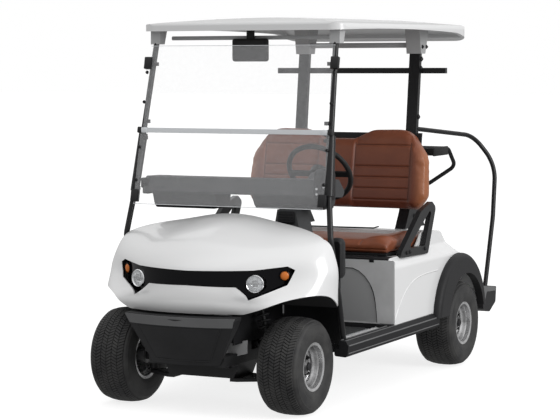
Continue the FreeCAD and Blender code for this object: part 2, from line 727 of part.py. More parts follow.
def floor_mat():
    ribs = 14
    points = [(-160, FLOOR), (-160, FLOOR + 8), (-575, FLOOR + 8), (-575, FLOOR)]
    owner = prism("mat", "YZ_Plane", points, 900, 0, True)
    grooves = prism("mat_grooves", "XZ_Plane", [
        (-430, FLOOR + 6), (-430, FLOOR + 12), (-426, FLOOR + 12), (-426, FLOOR + 6)], 380, 175)
    pitch = 860 / ribs
    row_of = [grooves]
    for index in range(1, ribs + 1):
        groove = doc.addObject("Part::Box", "mat_groove")
        groove.Length, groove.Width, groove.Height = 4, 380, 6
        groove.Placement.Base = vector(-430 + pitch * index, -555, FLOOR + 6)
        row_of.append(groove)
    return cut(owner, fuse(*row_of))


def sill():
    """A stepped running board between the wheels."""
    return prism("sill", "XZ_Plane", [
        (545, 250, 10), (612, 246, 14), (618, 300, 10), (606, 322, 6), (570, 326), (570, 286), (545, 286)],
        1155, -420)


PAN = named(floor_pan(), "floor_pan")
named(floor_mat(), "floor_mat")
SILLS = named(both_sides(sill()), "sills")


def pedal(x, width):
    pad_plate = prism("pedal_pad", "YZ_Plane", [
        (-578, FLOOR + 108), (-538, FLOOR + 66), (-531, FLOOR + 73), (-571, FLOOR + 115)], width, x)
    lever = bar("pedal_lever", (x + width / 2, -556, FLOOR + 91), (x + width / 2, -606, FLOOR + 30), 7)
    return cut(fuse(pad_plate, lever), PAN)


pedal_pair = doc.addObject("Part::Compound", "pedal_pair")
pedal_pair.Links = [pedal(95, 75), pedal(190, 50)]
named(pedal_pair, "pedals")

# Seat pod front and rear body
POD_TOP = size("pod_top")


def seat_pod():
    """The moulded front of the pod, with the arched access panel let into it."""
    wall = prism("pod_wall", "XZ_Plane", [
        (-594, FLOOR + 28), (594, FLOOR + 28), (594, POD_TOP - 8), (-594, POD_TOP - 8)], 6,
        "-sizes.pod_front_y - 6")
    recess = prism("pod_recess", "XZ_Plane", mirrored([
        (0, FLOOR + 34), (503, FLOOR + 34), (494, 435), ("via", 452, 546), (370, 602), (0, 602)]), 3,
        "-sizes.pod_front_y - 3")
    return cut(wall, recess)


named(seat_pod(), "seat_pod")

SIDE = [(POD_Y, 326), (POD_Y, POD_TOP, 30), (230, POD_TOP + 8), (330, 748, 50), (590, 738, 90), (720, 618),
        (905, 540), (1012, 396), (1016, 326)]


def rear_form(inset):
    """The rear body as a closed form: side silhouette across the cart, with its long edges rounded."""
    owner = new_body("rear_form")
    floor = 326 if inset == 0 else 300
    moved = []
    for point in SIDE:
        y = point[0] + (inset if point[0] < 0 else 0) - (inset if point[0] > 700 else 0)
        z = point[1] - inset if point[1] > 330 else floor
        moved.append((y, z) + tuple(point[2:]))
    pad(owner, outline(owner, "YZ_Plane", moved), "2 * sizes.body_half_width - %g" % (2 * inset), True)
    half = size("body_half_width") - inset
    shoulder = prism("rear_shoulder", "XZ_Plane", mirrored([
        (0, 250), (half, 250), (half, 612, 30), (half - 52, 668 - inset, 20), (half - 52, 760), (0, 760)]),
        1300, -1100)
    well = box("bag_well_room", (-330 - inset, 640 - inset, 384 - inset), (330 + inset, 1200, 900))
    seat = box("seat_room", (-540 - inset, POD_Y - 50, POD_TOP - inset), (540 + inset, 425 + inset, 900))
    return cut(common(owner, shoulder), well, seat)


def arch_cutter(name, radius):
    made = doc.addObject("Part::Cylinder", name)
    assign(made, "Radius", radius)
    made.Height = 400
    made.Placement = FreeCAD.Placement(vector(395, REAR_Y, AXLE_Z + 12), FreeCAD.Rotation(vector(0, 1, 0), 90))
    return made


def rear_body():
    wall = size("body_wall")
    tyre_arch = arch_cutter("rear_arch", "sizes.arch_radius")
    battery_door = box("battery_door", (-460, -90, 600), (460, 330, 800))
    lower = box("rear_below", (-700, -200, 250), (700, 1100, 326))
    front = box("rear_front", (-594, POD_Y - 10, 300), (594, POD_Y + 7, POD_TOP - 8))
    frame_room = box("frame_room", (-RAIL_OUT - 8, 600, 300), (RAIL_OUT + 8, 1100, RAIL_TOP + 92))
    return cut(rear_form(0), rear_form(wall), tyre_arch, mirror_x(tyre_arch), battery_door, lower, front,
               frame_room)


REAR_BODY = named(rear_body(), "rear_body")


def fender_flare():
    """A dark moulded crescent round the rear arch, wide ahead of the wheel and thin behind it."""
    outer = new_body("flare_outer")
    radius = size("flare_radius")
    revolve(outer, outline(outer, "XY_Plane", [(600, 0), (600, radius), (640, radius, 30), (640, 0)]))
    place(outer, 0, 707, 263)
    inner = arch_cutter("flare_inner", "sizes.arch_radius - 10")
    below = box("flare_below", (500, 300, -200), (700, 1300, 300))
    return cut(outer, inner, below)


named(cut(both_sides(fender_flare()), SILLS), "fender_flares")


def bag_floor():
    owner = prism("bag_floor", "YZ_Plane", [
        (646, 391), (646, 385), (1092, 385), (1092, 391)], 644, 0, True)
    return owner


named(bag_floor(), "bag_floor")


def rear_bumper():
    """The step bumper that the rack tubes stand on."""
    step = prism("bumper_step", "YZ_Plane", [
        (1095, 262, 20), (1195, 235, 30), (1292, 282, 14), (1304, 366, 8), (1100, 392, 8)], 1200, 0, True)
    return cut(step, FRAME)


REAR_BUMPER = named(rear_bumper(), "rear_bumper")
named(both_sides(box("tail_lamp", (470, 1012, 430), (560, 1030, 480))), "tail_lamps")

# Seats


def seat_cushion():
    front = size("cushion_front_y")
    rear = front + size("cushion_depth")
    top = POD_TOP + 2 + size("cushion_height")
    form = prism("cushion", "YZ_Plane", [
        (front, POD_TOP + 2, 12), (rear, POD_TOP + 2, 12), (rear - 6, top - 6, 20), (front + 160, top - 14),
        (front + 70, top, 30), (front - 6, top - 30, 24)], "2 * sizes.cushion_half_width", 0, True)
    hollow = prism("cushion_hollow", "XZ_Plane", [
        (-430, top + 20), (-372, top - 24, 60), (372, top - 24, 60), (430, top + 20)], 600, -500)
    return cut(form, hollow)


def seat_back():
    half = size("back_half_width")
    face = prism("back_face", "XZ_Plane", mirrored([
        (0, 862), (half - 60, 862, 50), (half - 4, 930, 60), (half - 16, 1130, 130), (half - 120, 1268, 130),
        (half - 330, 1268, 90), (half - 430, 1226), (0, 1226)]), 400, -700)
    profile = prism("back_profile", "YZ_Plane", [
        (432, 868, 20), (500, 868, 8), (575, 1268, 8), (505, 1268, 26)], 1300, 0, True)
    return common(face, profile)


named(seat_cushion(), "seat_cushion")
named(seat_back(), "seat_back")


def seat_frame():
    """The shell behind the back rest and its two stays to the struts."""
    shell = prism("back_shell", "YZ_Plane", [
        (503.3, 880), (515, 880), (584, 1250), (572.7, 1250)], 900, 0, True)
    stay = box("shell_stay", (302, 548, 1085), (358, 715, 1115))
    return fuse(shell, stay, mirror_x(stay))


def armrest():
    """The hip restraint: a closed loop standing on the body's shoulder."""
    outer = prism("armrest_loop", "YZ_Plane", [
        (-45, 650, 16), (340, 640, 20), (448, 872, 24), (396, 906, 24), (246, 864, 60)], 26, 556)
    inner = prism("armrest_gap", "YZ_Plane", [
        (76, 686, 12), (298, 684, 12), (384, 850, 12), (362, 858, 10)], 60, 540)
    return cut(outer, inner, rear_form(0))


named(both_sides(armrest()), "armrests")

# Roof, struts and windscreen
STRUT = [(489, -586, 1727), (510, -688, 1291), (528, -751, 997), (553, -790, 800), (572, -740, 520),
         (572, -682, 290)]


CEILING_Z = 1806


def roof():
    """A thin moulded canopy: crowned both ways, drooping at the tail, hollowed underneath."""
    half = size("roof_half_width")
    front = size("roof_front_y")
    rear = size("roof_rear_y")
    side_view = prism("roof_side", "YZ_Plane", [
        (front, 1786), (front, 1828, 16), ("via", 60, 1866), (760, 1848), ("via", 900, 1832), (rear, 1792),
        (rear, 1736), ("via", 930, 1762), (800, 1780), ("via", 100, 1794)], 1200, 0, True)
    front_view = prism("roof_crown", "XZ_Plane", mirrored([
        (0, 1700), (half, 1700), (half, 1818, 24), (0, 1866, 3500)]), 1800, -1100)
    plan = prism("roof_plan", "XY_Plane", [
        (-half, front, 70), (half, front, 70), (half, rear, 80), (-half, rear, 80)], 300, 1650)
    recess = prism("roof_recess", "YZ_Plane", [
        (front + 45, 1700), (rear - 50, 1700), (rear - 50, 1772), (865, CEILING_Z), (front + 45, CEILING_Z)],
        2 * half - 50, 0, True)
    return cut(common(common(side_view, front_view), plan), recess)


named(roof(), "roof")


def roof_foot(name, points, width, x):
    """A moulded foot between a strut and the roof's ceiling."""
    return prism(name, "YZ_Plane", points, width, x - width / 2)


def roof_brackets():
    front_foot = roof_foot("front_foot", [(-600, 1722), (-556, 1722), (-524, CEILING_Z), (-598, CEILING_Z)], 54, 488)
    rear_foot = roof_foot("rear_foot", [(752, 1668), (812, 1668), (862, CEILING_Z), (728, CEILING_Z)], 84, 330)
    feet = doc.addObject("Part::Compound", "roof_feet")
    feet.Links = [both_sides(front_foot), both_sides(rear_foot)]
    return feet


BRACKETS = named(roof_brackets(), "roof_brackets")


def strut_place(z):
    """The strut's x and y at a height between the dash and the roof."""
    high, bend, low = STRUT[:3]
    start, end = (bend, high) if z > bend[2] else (low, bend)
    share = (z - start[2]) / (end[2] - start[2])
    return start[0] + (end[0] - start[0]) * share, start[1] + (end[1] - start[1]) * share


def screen_y(z):
    """Where the windscreen's front face is at a height, just ahead of the struts."""
    slope = (STRUT[0][1] - STRUT[2][1]) / (STRUT[0][2] - STRUT[2][2])
    return STRUT[2][1] + (z - STRUT[2][2]) * slope - size("strut_radius") - 17


def pane(name, low, high, width):
    thick = size("pane_thickness")
    return prism(name, "YZ_Plane", [
        (screen_y(low), low), (screen_y(low) + thick, low), (screen_y(high) + thick, high), (screen_y(high), high)],
        width, 0, True)


HINGE_Z = size("hinge_bar_z")
LOWER_PANE = named(pane("screen_low", 945, HINGE_Z - 10, "2 * sizes.screen_half_width"), "windscreen_lower")
UPPER_PANE = named(pane("screen_high", HINGE_Z + 10, 1715, "2 * sizes.screen_half_width - 24"), "windscreen_upper")
hinge_y = screen_y(HINGE_Z) + 2.5
named(prism("hinge_bar", "YZ_Plane", [
    (hinge_y - 8, HINGE_Z - 10), (hinge_y + 8, HINGE_Z - 10), (hinge_y + 8, HINGE_Z + 10), (hinge_y - 8, HINGE_Z + 10)],
    "2 * sizes.screen_half_width - 24", 0, True), "windscreen_hinge")


def front_strut():
    """A bent tube with a sleeve over its lower half and four clamps that hold the panes."""
    strut = tube("strut_tube", STRUT, "sizes.strut_radius", 60)
    sleeve_low = strut_place(1005)
    sleeve_high = strut_place(1285)
    sleeve = bar("strut_sleeve", sleeve_low + (1005,), sleeve_high + (1285,), "sizes.strut_radius + 8")
    parts = [strut, sleeve]
    for level in (1020, 1265, 1345, 1625):
        x, y = strut_place(level)
        parts.append(box("screen_clamp", (x - 30, screen_y(level) + 8, level - 9), (x, y, level + 9)))
    return cut(fuse(*parts), LOWER_PANE, UPPER_PANE, SILLS, BRACKETS, PAN)


STRUTS = named(both_sides(front_strut()), "front_struts")
named(cut(both_sides(wheel_liner()), STRUTS, PAN, LAMP_PANEL), "wheel_liners")


def rear_strut():
    """A slender leaning post that flares into a wide foot on the deck."""
    return prism("strut_plate", "YZ_Plane", [
        (560, 738), (835, 738), (762, 825, 60), (742, 930), (744, 1265), (796, 1690), (802, 1745), (774, 1745),
        (768, 1690), (712, 1265), (650, 930), (618, 829, 60)], 60, 300)


left_rear_strut = rear_strut()
crossbar = box("crossbar_tube", (-500, 780, 1562), (500, 808, 1592))
REAR_STRUTS = named(cut(fuse(left_rear_strut, mirror_x(left_rear_strut), crossbar), REAR_BODY, BRACKETS), "rear_struts")
named(cut(seat_frame(), REAR_STRUTS), "seat_frame")

mirror_stem = box("mirror_stem", (-14, -528, 1740), (14, -512, CEILING_Z))
named(fuse(box("mirror_shell", (-98, -536, 1636), (98, -506, 1748)), mirror_stem), "mirror")


def rack_tube():
    return tube("rack_tube", [
        (350, 735, 1266), (490, 1225, 1212, 150), (594, 1298, 1050, 230), (598, 1250, 760, 400), (586, 1160, 374)],
        "sizes.rack_tube_radius", 60)


named(cut(both_sides(rack_tube()), REAR_STRUTS, REAR_BUMPER), "rack_tubes")


def bag_bar():
    """A bent hoop behind the seat that the golf bags lean on."""
    half = [(330, 735, 1165), (430, 1000, 1150), (440, 1080, 1050), (300, 1030, 950)]
    points = half + [(-x, y, z) for x, y, z in reversed(half)]
    return tube("bag_hoop", points, 11, 40)


named(cut(bag_bar(), REAR_STRUTS), "bag_bar")

# Dash, column and steering wheel


def dashboard():
    beam = prism("dash_beam", "YZ_Plane", [
        (-735, 1000, 8), (-700, 1078, 14), (-560, 1074, 14), (-490, 1010, 16), (-520, 985, 10)], 980, 0, True)
    bin_left = prism("dash_bin", "YZ_Plane", [
        (-700, 1040), (-500, 1030), (-520, 945, 30), (-640, 935, 30)], 370, 80)
    bin_right = prism("glove_bin", "YZ_Plane", [
        (-700, 1040), (-500, 1030), (-520, 938, 20), (-660, 926, 20)], 345, -465)
    tray = box("dash_tray", (-430, -640, 1030), (180, -560, 1100))
    return cut(fuse(beam, bin_left, bin_right), tray)


named(dashboard(), "dashboard")

TILT = math.radians(size("steering_tilt"))
COLUMN = vector(0, math.cos(TILT), math.sin(TILT))
HUB = vector(size("steering_x"), size("steering_y"), size("steering_z"))


def along_column(distance):
    return tuple(HUB + COLUMN * distance)


def steering_column():
    """Shroud under the wheel, shaft through the dash and the pedestal on the hood's rear."""
    shroud = bar("column_shroud", along_column(-46), along_column(-230), 38)
    shaft = bar("column_shaft", along_column(-200), along_column(-470), 18)
    pedestal = prism("pedestal", "XZ_Plane", [
        (200, SHELF_Z), (380, SHELF_Z), (365, 800), (335, 934), (240, 934), (215, 800)], 140, 580)
    return fuse(shroud, shaft, pedestal)


def steering_wheel():
    """A three-spoke wheel, built flat and tilted to the column."""
    ring = doc.addObject("Part::Torus", "wheel_ring")
    ring.setExpression("Radius1", "sizes.steering_radius")
    ring.setExpression("Radius2", "sizes.grip_radius")
    hub = doc.addObject("Part::Cylinder", "wheel_hub")
    hub.Radius, hub.Height = 48, 40
    hub.Placement.Base = vector(0, 0, -36)
    spokes = []
    for angle in (0, 180, 90):
        spoke = doc.addObject("Part::Box", "wheel_spoke")
        spoke.Length, spoke.Width, spoke.Height = size("steering_radius") - 30, 30, 10
        turn = FreeCAD.Rotation(vector(0, 0, 1), angle)
        spoke.Placement = FreeCAD.Placement(turn.multVec(vector(30, -15, -14)), turn)
        spokes.append(spoke)
    whole = fuse(ring, hub, *spokes)
    whole.Placement = FreeCAD.Placement(HUB, FreeCAD.Rotation(vector(1, 0, 0), -(90 - size("steering_tilt"))))
    return whole


named(cut(steering_column(), PAN), "steering_column")
named(steering_wheel(), "steering_wheel")

# Check and write
doc.recompute()
for thing in doc.Objects:
    if "Invalid" in thing.State or "Error" in thing.State:
        raise RuntimeError("%s did not build: %s" % (thing.Name, thing.State))
for thing in SUBPARTS:
    if thing.Shape.isNull() or not thing.Shape.isValid():
        raise RuntimeError("%s has no valid shape" % thing.Label)
    thing.Shape.exportStep("parts/%s.step" % thing.Label)
    limits = thing.Shape.BoundBox
    print("%-20s solids %d  x %.0f %.0f  y %.0f %.0f  z %.0f %.0f" % (
        thing.Label, len(thing.Shape.Solids), limits.XMin, limits.XMax, limits.YMin, limits.YMax, limits.ZMin,
        limits.ZMax))
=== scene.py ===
# %% [markdown]
# # A two-seat golf cart, dressed
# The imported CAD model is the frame: it fixes every size and every joint. This script gives each of its
# parts a finish, adds the soft seats, tyre tread, lamps and small fittings, and sets up the photograph's
# camera. It reads from top to bottom as a lesson, one idea to a cell.

# %% Load the frame
import math

import bmesh
import bpy
from mathutils import Matrix, Vector
from mathutils.bvhtree import BVHTree


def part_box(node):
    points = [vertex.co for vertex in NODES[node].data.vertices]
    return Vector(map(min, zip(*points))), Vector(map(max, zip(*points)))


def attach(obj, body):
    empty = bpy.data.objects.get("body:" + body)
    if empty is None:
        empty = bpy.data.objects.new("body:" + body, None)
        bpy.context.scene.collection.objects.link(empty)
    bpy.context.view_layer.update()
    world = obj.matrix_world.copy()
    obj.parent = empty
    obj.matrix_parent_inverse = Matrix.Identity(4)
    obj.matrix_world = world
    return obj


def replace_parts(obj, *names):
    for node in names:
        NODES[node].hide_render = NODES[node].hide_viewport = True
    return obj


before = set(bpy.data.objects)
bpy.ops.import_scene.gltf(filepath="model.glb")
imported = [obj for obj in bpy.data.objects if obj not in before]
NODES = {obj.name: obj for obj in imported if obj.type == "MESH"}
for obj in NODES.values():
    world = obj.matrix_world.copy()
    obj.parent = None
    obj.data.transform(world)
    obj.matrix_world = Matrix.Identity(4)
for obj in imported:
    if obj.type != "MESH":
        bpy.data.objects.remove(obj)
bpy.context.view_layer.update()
WHEEL_PLACES = {"front_left": (0.445, -0.95), "front_right": (-0.445, -0.95),
                "rear_left": (0.525, 0.75), "rear_right": (-0.525, 0.75)}
AXLE_Z = 0.2285
SIDES = (1, -1)
ONCE = (1,)

# %% [markdown]
# ## Camera
# A product photograph like this is taken from far away with a long lens, so the cart is hardly distorted.
# The camera stands ahead of the cart on the driver's side, at about head height. Its place and its three
# angles were worked out from the wheels, the roof and the seat, and are set as one matrix of its own axes.

# %% Camera
CAMERA_PLACE = Vector((4.522, -9.301, 1.691))
YAW, PITCH, ROLL = (math.radians(angle) for angle in (-26.44, -4.53, -0.29))
LENS = 129.74
camera = bpy.data.objects.new("camera", bpy.data.cameras.new("camera"))
bpy.context.scene.collection.objects.link(camera)
ahead = Vector((math.sin(YAW) * math.cos(PITCH), math.cos(YAW) * math.cos(PITCH), math.sin(PITCH)))
side = ahead.cross(Vector((0, 0, 1))).normalized()
over = side.cross(ahead)
right = side * math.cos(ROLL) + over * math.sin(ROLL)
above = over * math.cos(ROLL) - side * math.sin(ROLL)
axes = Matrix((right, above, -ahead)).transposed().to_4x4()
camera.matrix_world = Matrix.Translation(CAMERA_PLACE) @ axes
camera.data.sensor_width = 36
camera.data.lens = LENS
camera.data.clip_end = 200
camera.data.dof.use_dof = False
bpy.context.scene.camera = camera
print("camera:", [round(value, 3) for value in camera.location], "lens", camera.data.lens)

# %% [markdown]
# ## Shader sums in Python
# A material is a graph, and a graph made by hand is long to write. One small class stands for a socket, and
# its operators add the maths nodes, so a finish reads like a formula. A second class makes any node, and
# links or fills its sockets. The third is a material with its usual patterns.

# %% Sockets that add up


class Wire:
    """The output of a node, for use in sums."""

    def __init__(self, graph, socket):
        self.graph = graph
        self.socket = socket

    def sum(self, operation, *others):
        return self.graph.node("ShaderNodeMath", {"operation": operation}, dict(enumerate((self,) + others)))

    def __add__(self, other):
        return self.sum("ADD", other)

    def __sub__(self, other):
        return self.sum("SUBTRACT", other)

    def __rsub__(self, other):
        return self.graph.node("ShaderNodeMath", {"operation": "SUBTRACT"}, {0: other, 1: self})

    def __mul__(self, other):
        return self.sum("MULTIPLY", other)

    def __truediv__(self, other):
        return self.sum("DIVIDE", other)

    def above(self, edge, soft):
        """0 below the edge and 1 above it, over a soft step."""
        return ((self - edge) / soft + 0.5).sum("MAXIMUM", 0).sum("MINIMUM", 1)

    __radd__ = __add__
    __rmul__ = __mul__


FINISHES = {}


class Graph:
    """The nodes of a material or of the world."""

    def __init__(self, tree):
        self.nodes = tree.nodes
        self.links = tree.links

    def node(self, kind, settings=None, values=None, output=0):
        """Makes a node: its settings first, then the values or links of its sockets."""
        made = self.nodes.new(kind)
        for word, setting in (settings or {}).items():
            setattr(made, word, setting)
        for key, value in (values or {}).items():
            self.feed(made.inputs[key], value)
        return Wire(self, made.outputs[output])

    def feed(self, socket, value):
        if isinstance(value, Wire):
            self.links.new(value.socket, socket)
        else:
            socket.default_value = value


class Finish(Graph):
    """A material being built on one shader. Words that stay the same all over are set on its own sockets."""

    def __init__(self, name, colour, **constants):
        material = bpy.data.materials.new(name + "_finish")
        FINISHES[name] = material
        material.use_nodes = True
        material.diffuse_color = tuple(colour) + (1,)
        super().__init__(material.node_tree)
        self.set(base_color=tuple(colour) + (1,), **constants)

    def set(self, **sockets):
        """Feeds the shader's sockets, named in lower case."""
        inputs = self.nodes["Principled BSDF"].inputs
        names = {socket.name.lower().replace(" ", "_"): socket for socket in inputs}
        for word, value in sockets.items():
            self.feed(names[word], value)

    def position(self):
        """The place on the piece, in metres."""
        return self.node("ShaderNodeTexCoord", output="Object")

    def along(self, axis):
        """One of x, y and z of the place on the piece, in metres."""
        return self.node("ShaderNodeSeparateXYZ", None, {0: self.position()}, axis.upper())

    def noise(self, scale, detail=4):
        """Even cloudy noise, from about 0.3 to 0.7; the scale is cycles per metre."""
        return self.node("ShaderNodeTexNoise", None,
                         {"Vector": self.position(), "Scale": scale, "Detail": detail, "Roughness": 0.55})

    def cells(self, scale):
        """Small rounded cells, like the grain of leather or moulded plastic."""
        return self.node("ShaderNodeTexVoronoi", {"feature": "SMOOTH_F1"},
                         {"Vector": self.position(), "Scale": scale})

    def blend(self, share, first, second):
        """A colour between two others."""
        values = {0: share}
        for key, colour in ((6, first), (7, second)):
            values[key] = colour if isinstance(colour, Wire) else tuple(colour) + (1,)
        return self.node("ShaderNodeMix", {"data_type": "RGBA"}, values, 2)

    def bump(self, height, strength, distance):
        """Relief from a height; the distance is the height's depth in metres."""
        values = {"Height": height, "Strength": strength, "Distance": distance}
        self.set(normal=self.node("ShaderNodeBump", None, values))


def toned(colour, share):
    """A colour made darker or lighter."""
    return [value * share for value in colour]


print("shader sums ready")

# %% [markdown]
# ## Painted and moulded finishes
# The body is white gel coat: gloss paint over moulded plastic, with a clear coat, a faint orange peel and
# painted shade that greys the lower middle of the nose. Black parts come in three kinds that differ in gloss:
# the polished lamp band, the powder-coated tubes, and the grained plastic of flares, bumper and liners, whose
# grain is fine cells pressed into the mould. Each finish starts from one colour and gets its variation from
# slow noise.

# %% Painted finishes


def gel_coat(name, colour, roughness, peel=1.0, gloss=0.5, nose_shade=0.0):
    """Gloss paint with orange peel and a slow change of tone, and painted shade that darkens the lower middle
    of the nose.
    """
    coat = Finish(name, colour, coat_weight=gloss, coat_roughness=0.06, specular_ior_level=gloss)
    tone = coat.noise(2.2, 2)
    dull = coat.noise(5, 3)
    paint_tone = coat.blend(tone.above(0.5, 0.5), toned(colour, 0.97), colour)
    # Painted shade: low on the front and across the middle of the nose, the colour is blended towards half
    # its brightness.
    if nose_shade:
        across = coat.along("x").sum("ABSOLUTE")
        low = (1 - coat.along("z").above(0.60, 0.10)) * (1 - coat.along("y").above(-1.12, 0.06))
        painted_nose_shade = low * (1 - across.above(0.40, 0.16))
        paint_tone = coat.blend(painted_nose_shade * nose_shade, paint_tone, toned(colour, 0.5))
    coat.set(base_color=paint_tone, roughness=dull * 0.06 + roughness)
    coat.bump(coat.noise(300, 1), 0.02 * peel, 0.001)


def grained(name, colour, roughness, grain=260, depth=0.25, lift=1.5):
    """Moulded plastic: fine cells for the grain, and handling marks in colour and gloss."""
    plastic = Finish(name, colour, specular_ior_level=0.2)
    wear = plastic.noise(9, 6)
    lighter = [min(1, value * lift + 0.002) for value in colour]
    plastic.set(base_color=plastic.blend((wear - 0.35) * 1.6, colour, lighter),
                roughness=wear * 0.2 + roughness)
    plastic.bump(plastic.cells(grain) + plastic.noise(grain * 2) * 0.4, depth, 0.0012)


def powder_coat(name, colour, roughness):
    """Powder-coated steel: satin with a fine pebble."""
    coat = Finish(name, colour, coat_weight=0.08, coat_roughness=0.25, specular_ior_level=0.3)
    tone = coat.noise(7, 4)
    coat.set(base_color=coat.blend(tone, toned(colour, 0.7), toned(colour, 1.25)),
             roughness=tone * 0.14 + roughness)
    coat.bump(coat.noise(900, 2), 0.12, 0.001)


def metal(name, colour, roughness, grime=0.0):
    """Bare or painted metal with a fine grain and some grime in the hollows of a slow noise."""
    steel = Finish(name, colour, metallic=1.0)
    lines = steel.noise(160, 5)
    dirt = steel.noise(22, 5).above(0.6, 0.25) * grime
    steel.set(base_color=steel.blend(dirt, colour, (0.05, 0.045, 0.04)),
              roughness=lines * 0.18 + roughness + dirt * 0.3)
    steel.bump(lines, 0.12, 0.0006)


def height_graded(name, low_colour, high_colour, low, high):
    """Moulded plastic whose grey is a little darker towards the bottom, with a random wobble in the change.
    """
    plastic = Finish(name, high_colour, specular_ior_level=0.2)
    rise = (plastic.along("z") - low) / (high - low) + plastic.noise(7, 4) * 0.3 - 0.15
    share = rise.sum("MAXIMUM", 0).sum("MINIMUM", 1)
    plastic.set(base_color=plastic.blend(share, low_colour, high_colour),
                roughness=plastic.noise(9) * 0.2 + 0.4)
    plastic.bump(plastic.cells(320), 0.15, 0.0012)


def wheel_steel(name, axle_y):
    """Silver-painted wheel: a bright rolled flange, a thin ring of painted shade in the well, a disc painted
    dark as the shade deep in the dish, and random patches of road dirt.
    """
    steel = Finish(name, (0.42, 0.42, 0.425), metallic=0.85)
    across = steel.along("y") - axle_y
    height = steel.along("z") - AXLE_Z
    radius = (across * across + height * height).sum("SQRT")
    # Painted shade: the disc deep in the dish is darkened nearly to black, and a thin ring in the well a
    # little less.
    disc = 1 - radius.above(0.080, 0.008)
    ring = radius.above(0.0905, 0.003) * (1 - radius.above(0.0975, 0.003))
    dirt = steel.noise(26, 5).above(0.58, 0.25) * 0.35
    shade = (disc * 0.9 + ring * 0.45 + dirt).sum("MINIMUM", 1)
    steel.set(base_color=steel.blend(shade, (0.66, 0.66, 0.665), (0.035, 0.035, 0.036)),
              roughness=dirt * 0.5 + 0.27, metallic=(1 - disc) * 0.85)


gel_coat("body_white", (0.74, 0.742, 0.745), 0.2, nose_shade=0.8)
gel_coat("roof_white", (0.66, 0.662, 0.665), 0.34, 2.0)
gel_coat("band_black", (0.002, 0.002, 0.003), 0.12, gloss=0.12)
powder_coat("strut_black", (0.008, 0.008, 0.009), 0.3)
grained("foot_grey", (0.40, 0.402, 0.405), 0.5, 260, 0.2, 1.15)
powder_coat("frame_black", (0.014, 0.014, 0.015), 0.5)
grained("trim_dark", (0.016, 0.016, 0.017), 0.42)
grained("liner_black", (0.008, 0.008, 0.009), 0.55, 160, 0.3)
grained("sill_black", (0.009, 0.009, 0.010), 0.45)
grained("panel_grey", (0.50, 0.502, 0.505), 0.4, 320, 0.15, 1.3)
grained("dash_grey", (0.045, 0.046, 0.048), 0.42, 320, 0.18, 1.2)
grained("floor_grey", (0.30, 0.31, 0.32), 0.55, 240, 0.3, 1.1)
grained("mat_rubber", (0.032, 0.033, 0.034), 0.7, 200, 0.4)
grained("battery_plastic", (0.03, 0.03, 0.035), 0.5)
grained("wheel_grip", (0.012, 0.012, 0.012), 0.4, 500, 0.3)
wheel_steel("rim_front", WHEEL_PLACES["front_left"][1])
wheel_steel("rim_rear", WHEEL_PLACES["rear_left"][1])
metal("spring_steel", (0.055, 0.055, 0.058), 0.45, grime=0.6)
metal("motor_alloy", (0.3, 0.3, 0.3), 0.42, grime=0.6)
print("painted and moulded finishes:", len(bpy.data.materials))

# %% [markdown]
# ## Rubber, lamps and the screen
# Tyre rubber is nearly black, matt and dusty on the tread. Lamp glass is clear or dyed plastic. The folding
# windscreen is acrylic that has gone milky with light: what is behind it shows through a pale veil. The
# sheet is nearly clear and is given a faint painted glow of its own, which stands in for the light it
# scatters and lays that veil.

# %% Rubber and clear finishes


def clear_plastic(name, colour, alpha, roughness=0.04, glow=0.0):
    """Thin clear plastic: a see-through share rather than true refraction, which exports plainly."""
    lens = Finish(name, colour, specular_ior_level=0.25, coat_weight=0.1, coat_roughness=0.03,
                  emission_strength=glow, emission_color=tuple(colour) + (1,))
    scuff = lens.noise(60, 4)
    lens.set(alpha=scuff * 0.06 + alpha, roughness=scuff * 0.06 + roughness)


rubber = Finish("tyre_rubber", (0.021, 0.021, 0.022), specular_ior_level=0.35)
dust = rubber.noise(11, 6)
rubber.set(base_color=rubber.blend((dust - 0.35) * 1.7, (0.020, 0.020, 0.021), (0.068, 0.067, 0.064)),
           roughness=dust * 0.25 + 0.5)
rubber.bump(rubber.noise(700, 3), 0.3, 0.0008)
clear_plastic("lamp_clear", (0.92, 0.94, 0.96), 0.16)
clear_plastic("lamp_amber", (0.60, 0.17, 0.03), 0.9, 0.15)
clear_plastic("lamp_red", (0.55, 0.012, 0.01), 0.9, 0.1)
# The screen's glow is painted light that lays its pale veil.
clear_plastic("screen_clear", (0.86, 0.865, 0.88), 0.045, glow=0.4)
clear_plastic("screen_trim", (0.72, 0.74, 0.76), 0.85, 0.2)
Finish("seat_plain", (0.19, 0.05, 0.02), roughness=0.45)
print("rubber, lamp and screen finishes ready")

# %% [markdown]
# ## Finishes onto the CAD parts
# Each carried-over part keeps its shape and gets one finish in its material slots. The table says which;
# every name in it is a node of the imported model.

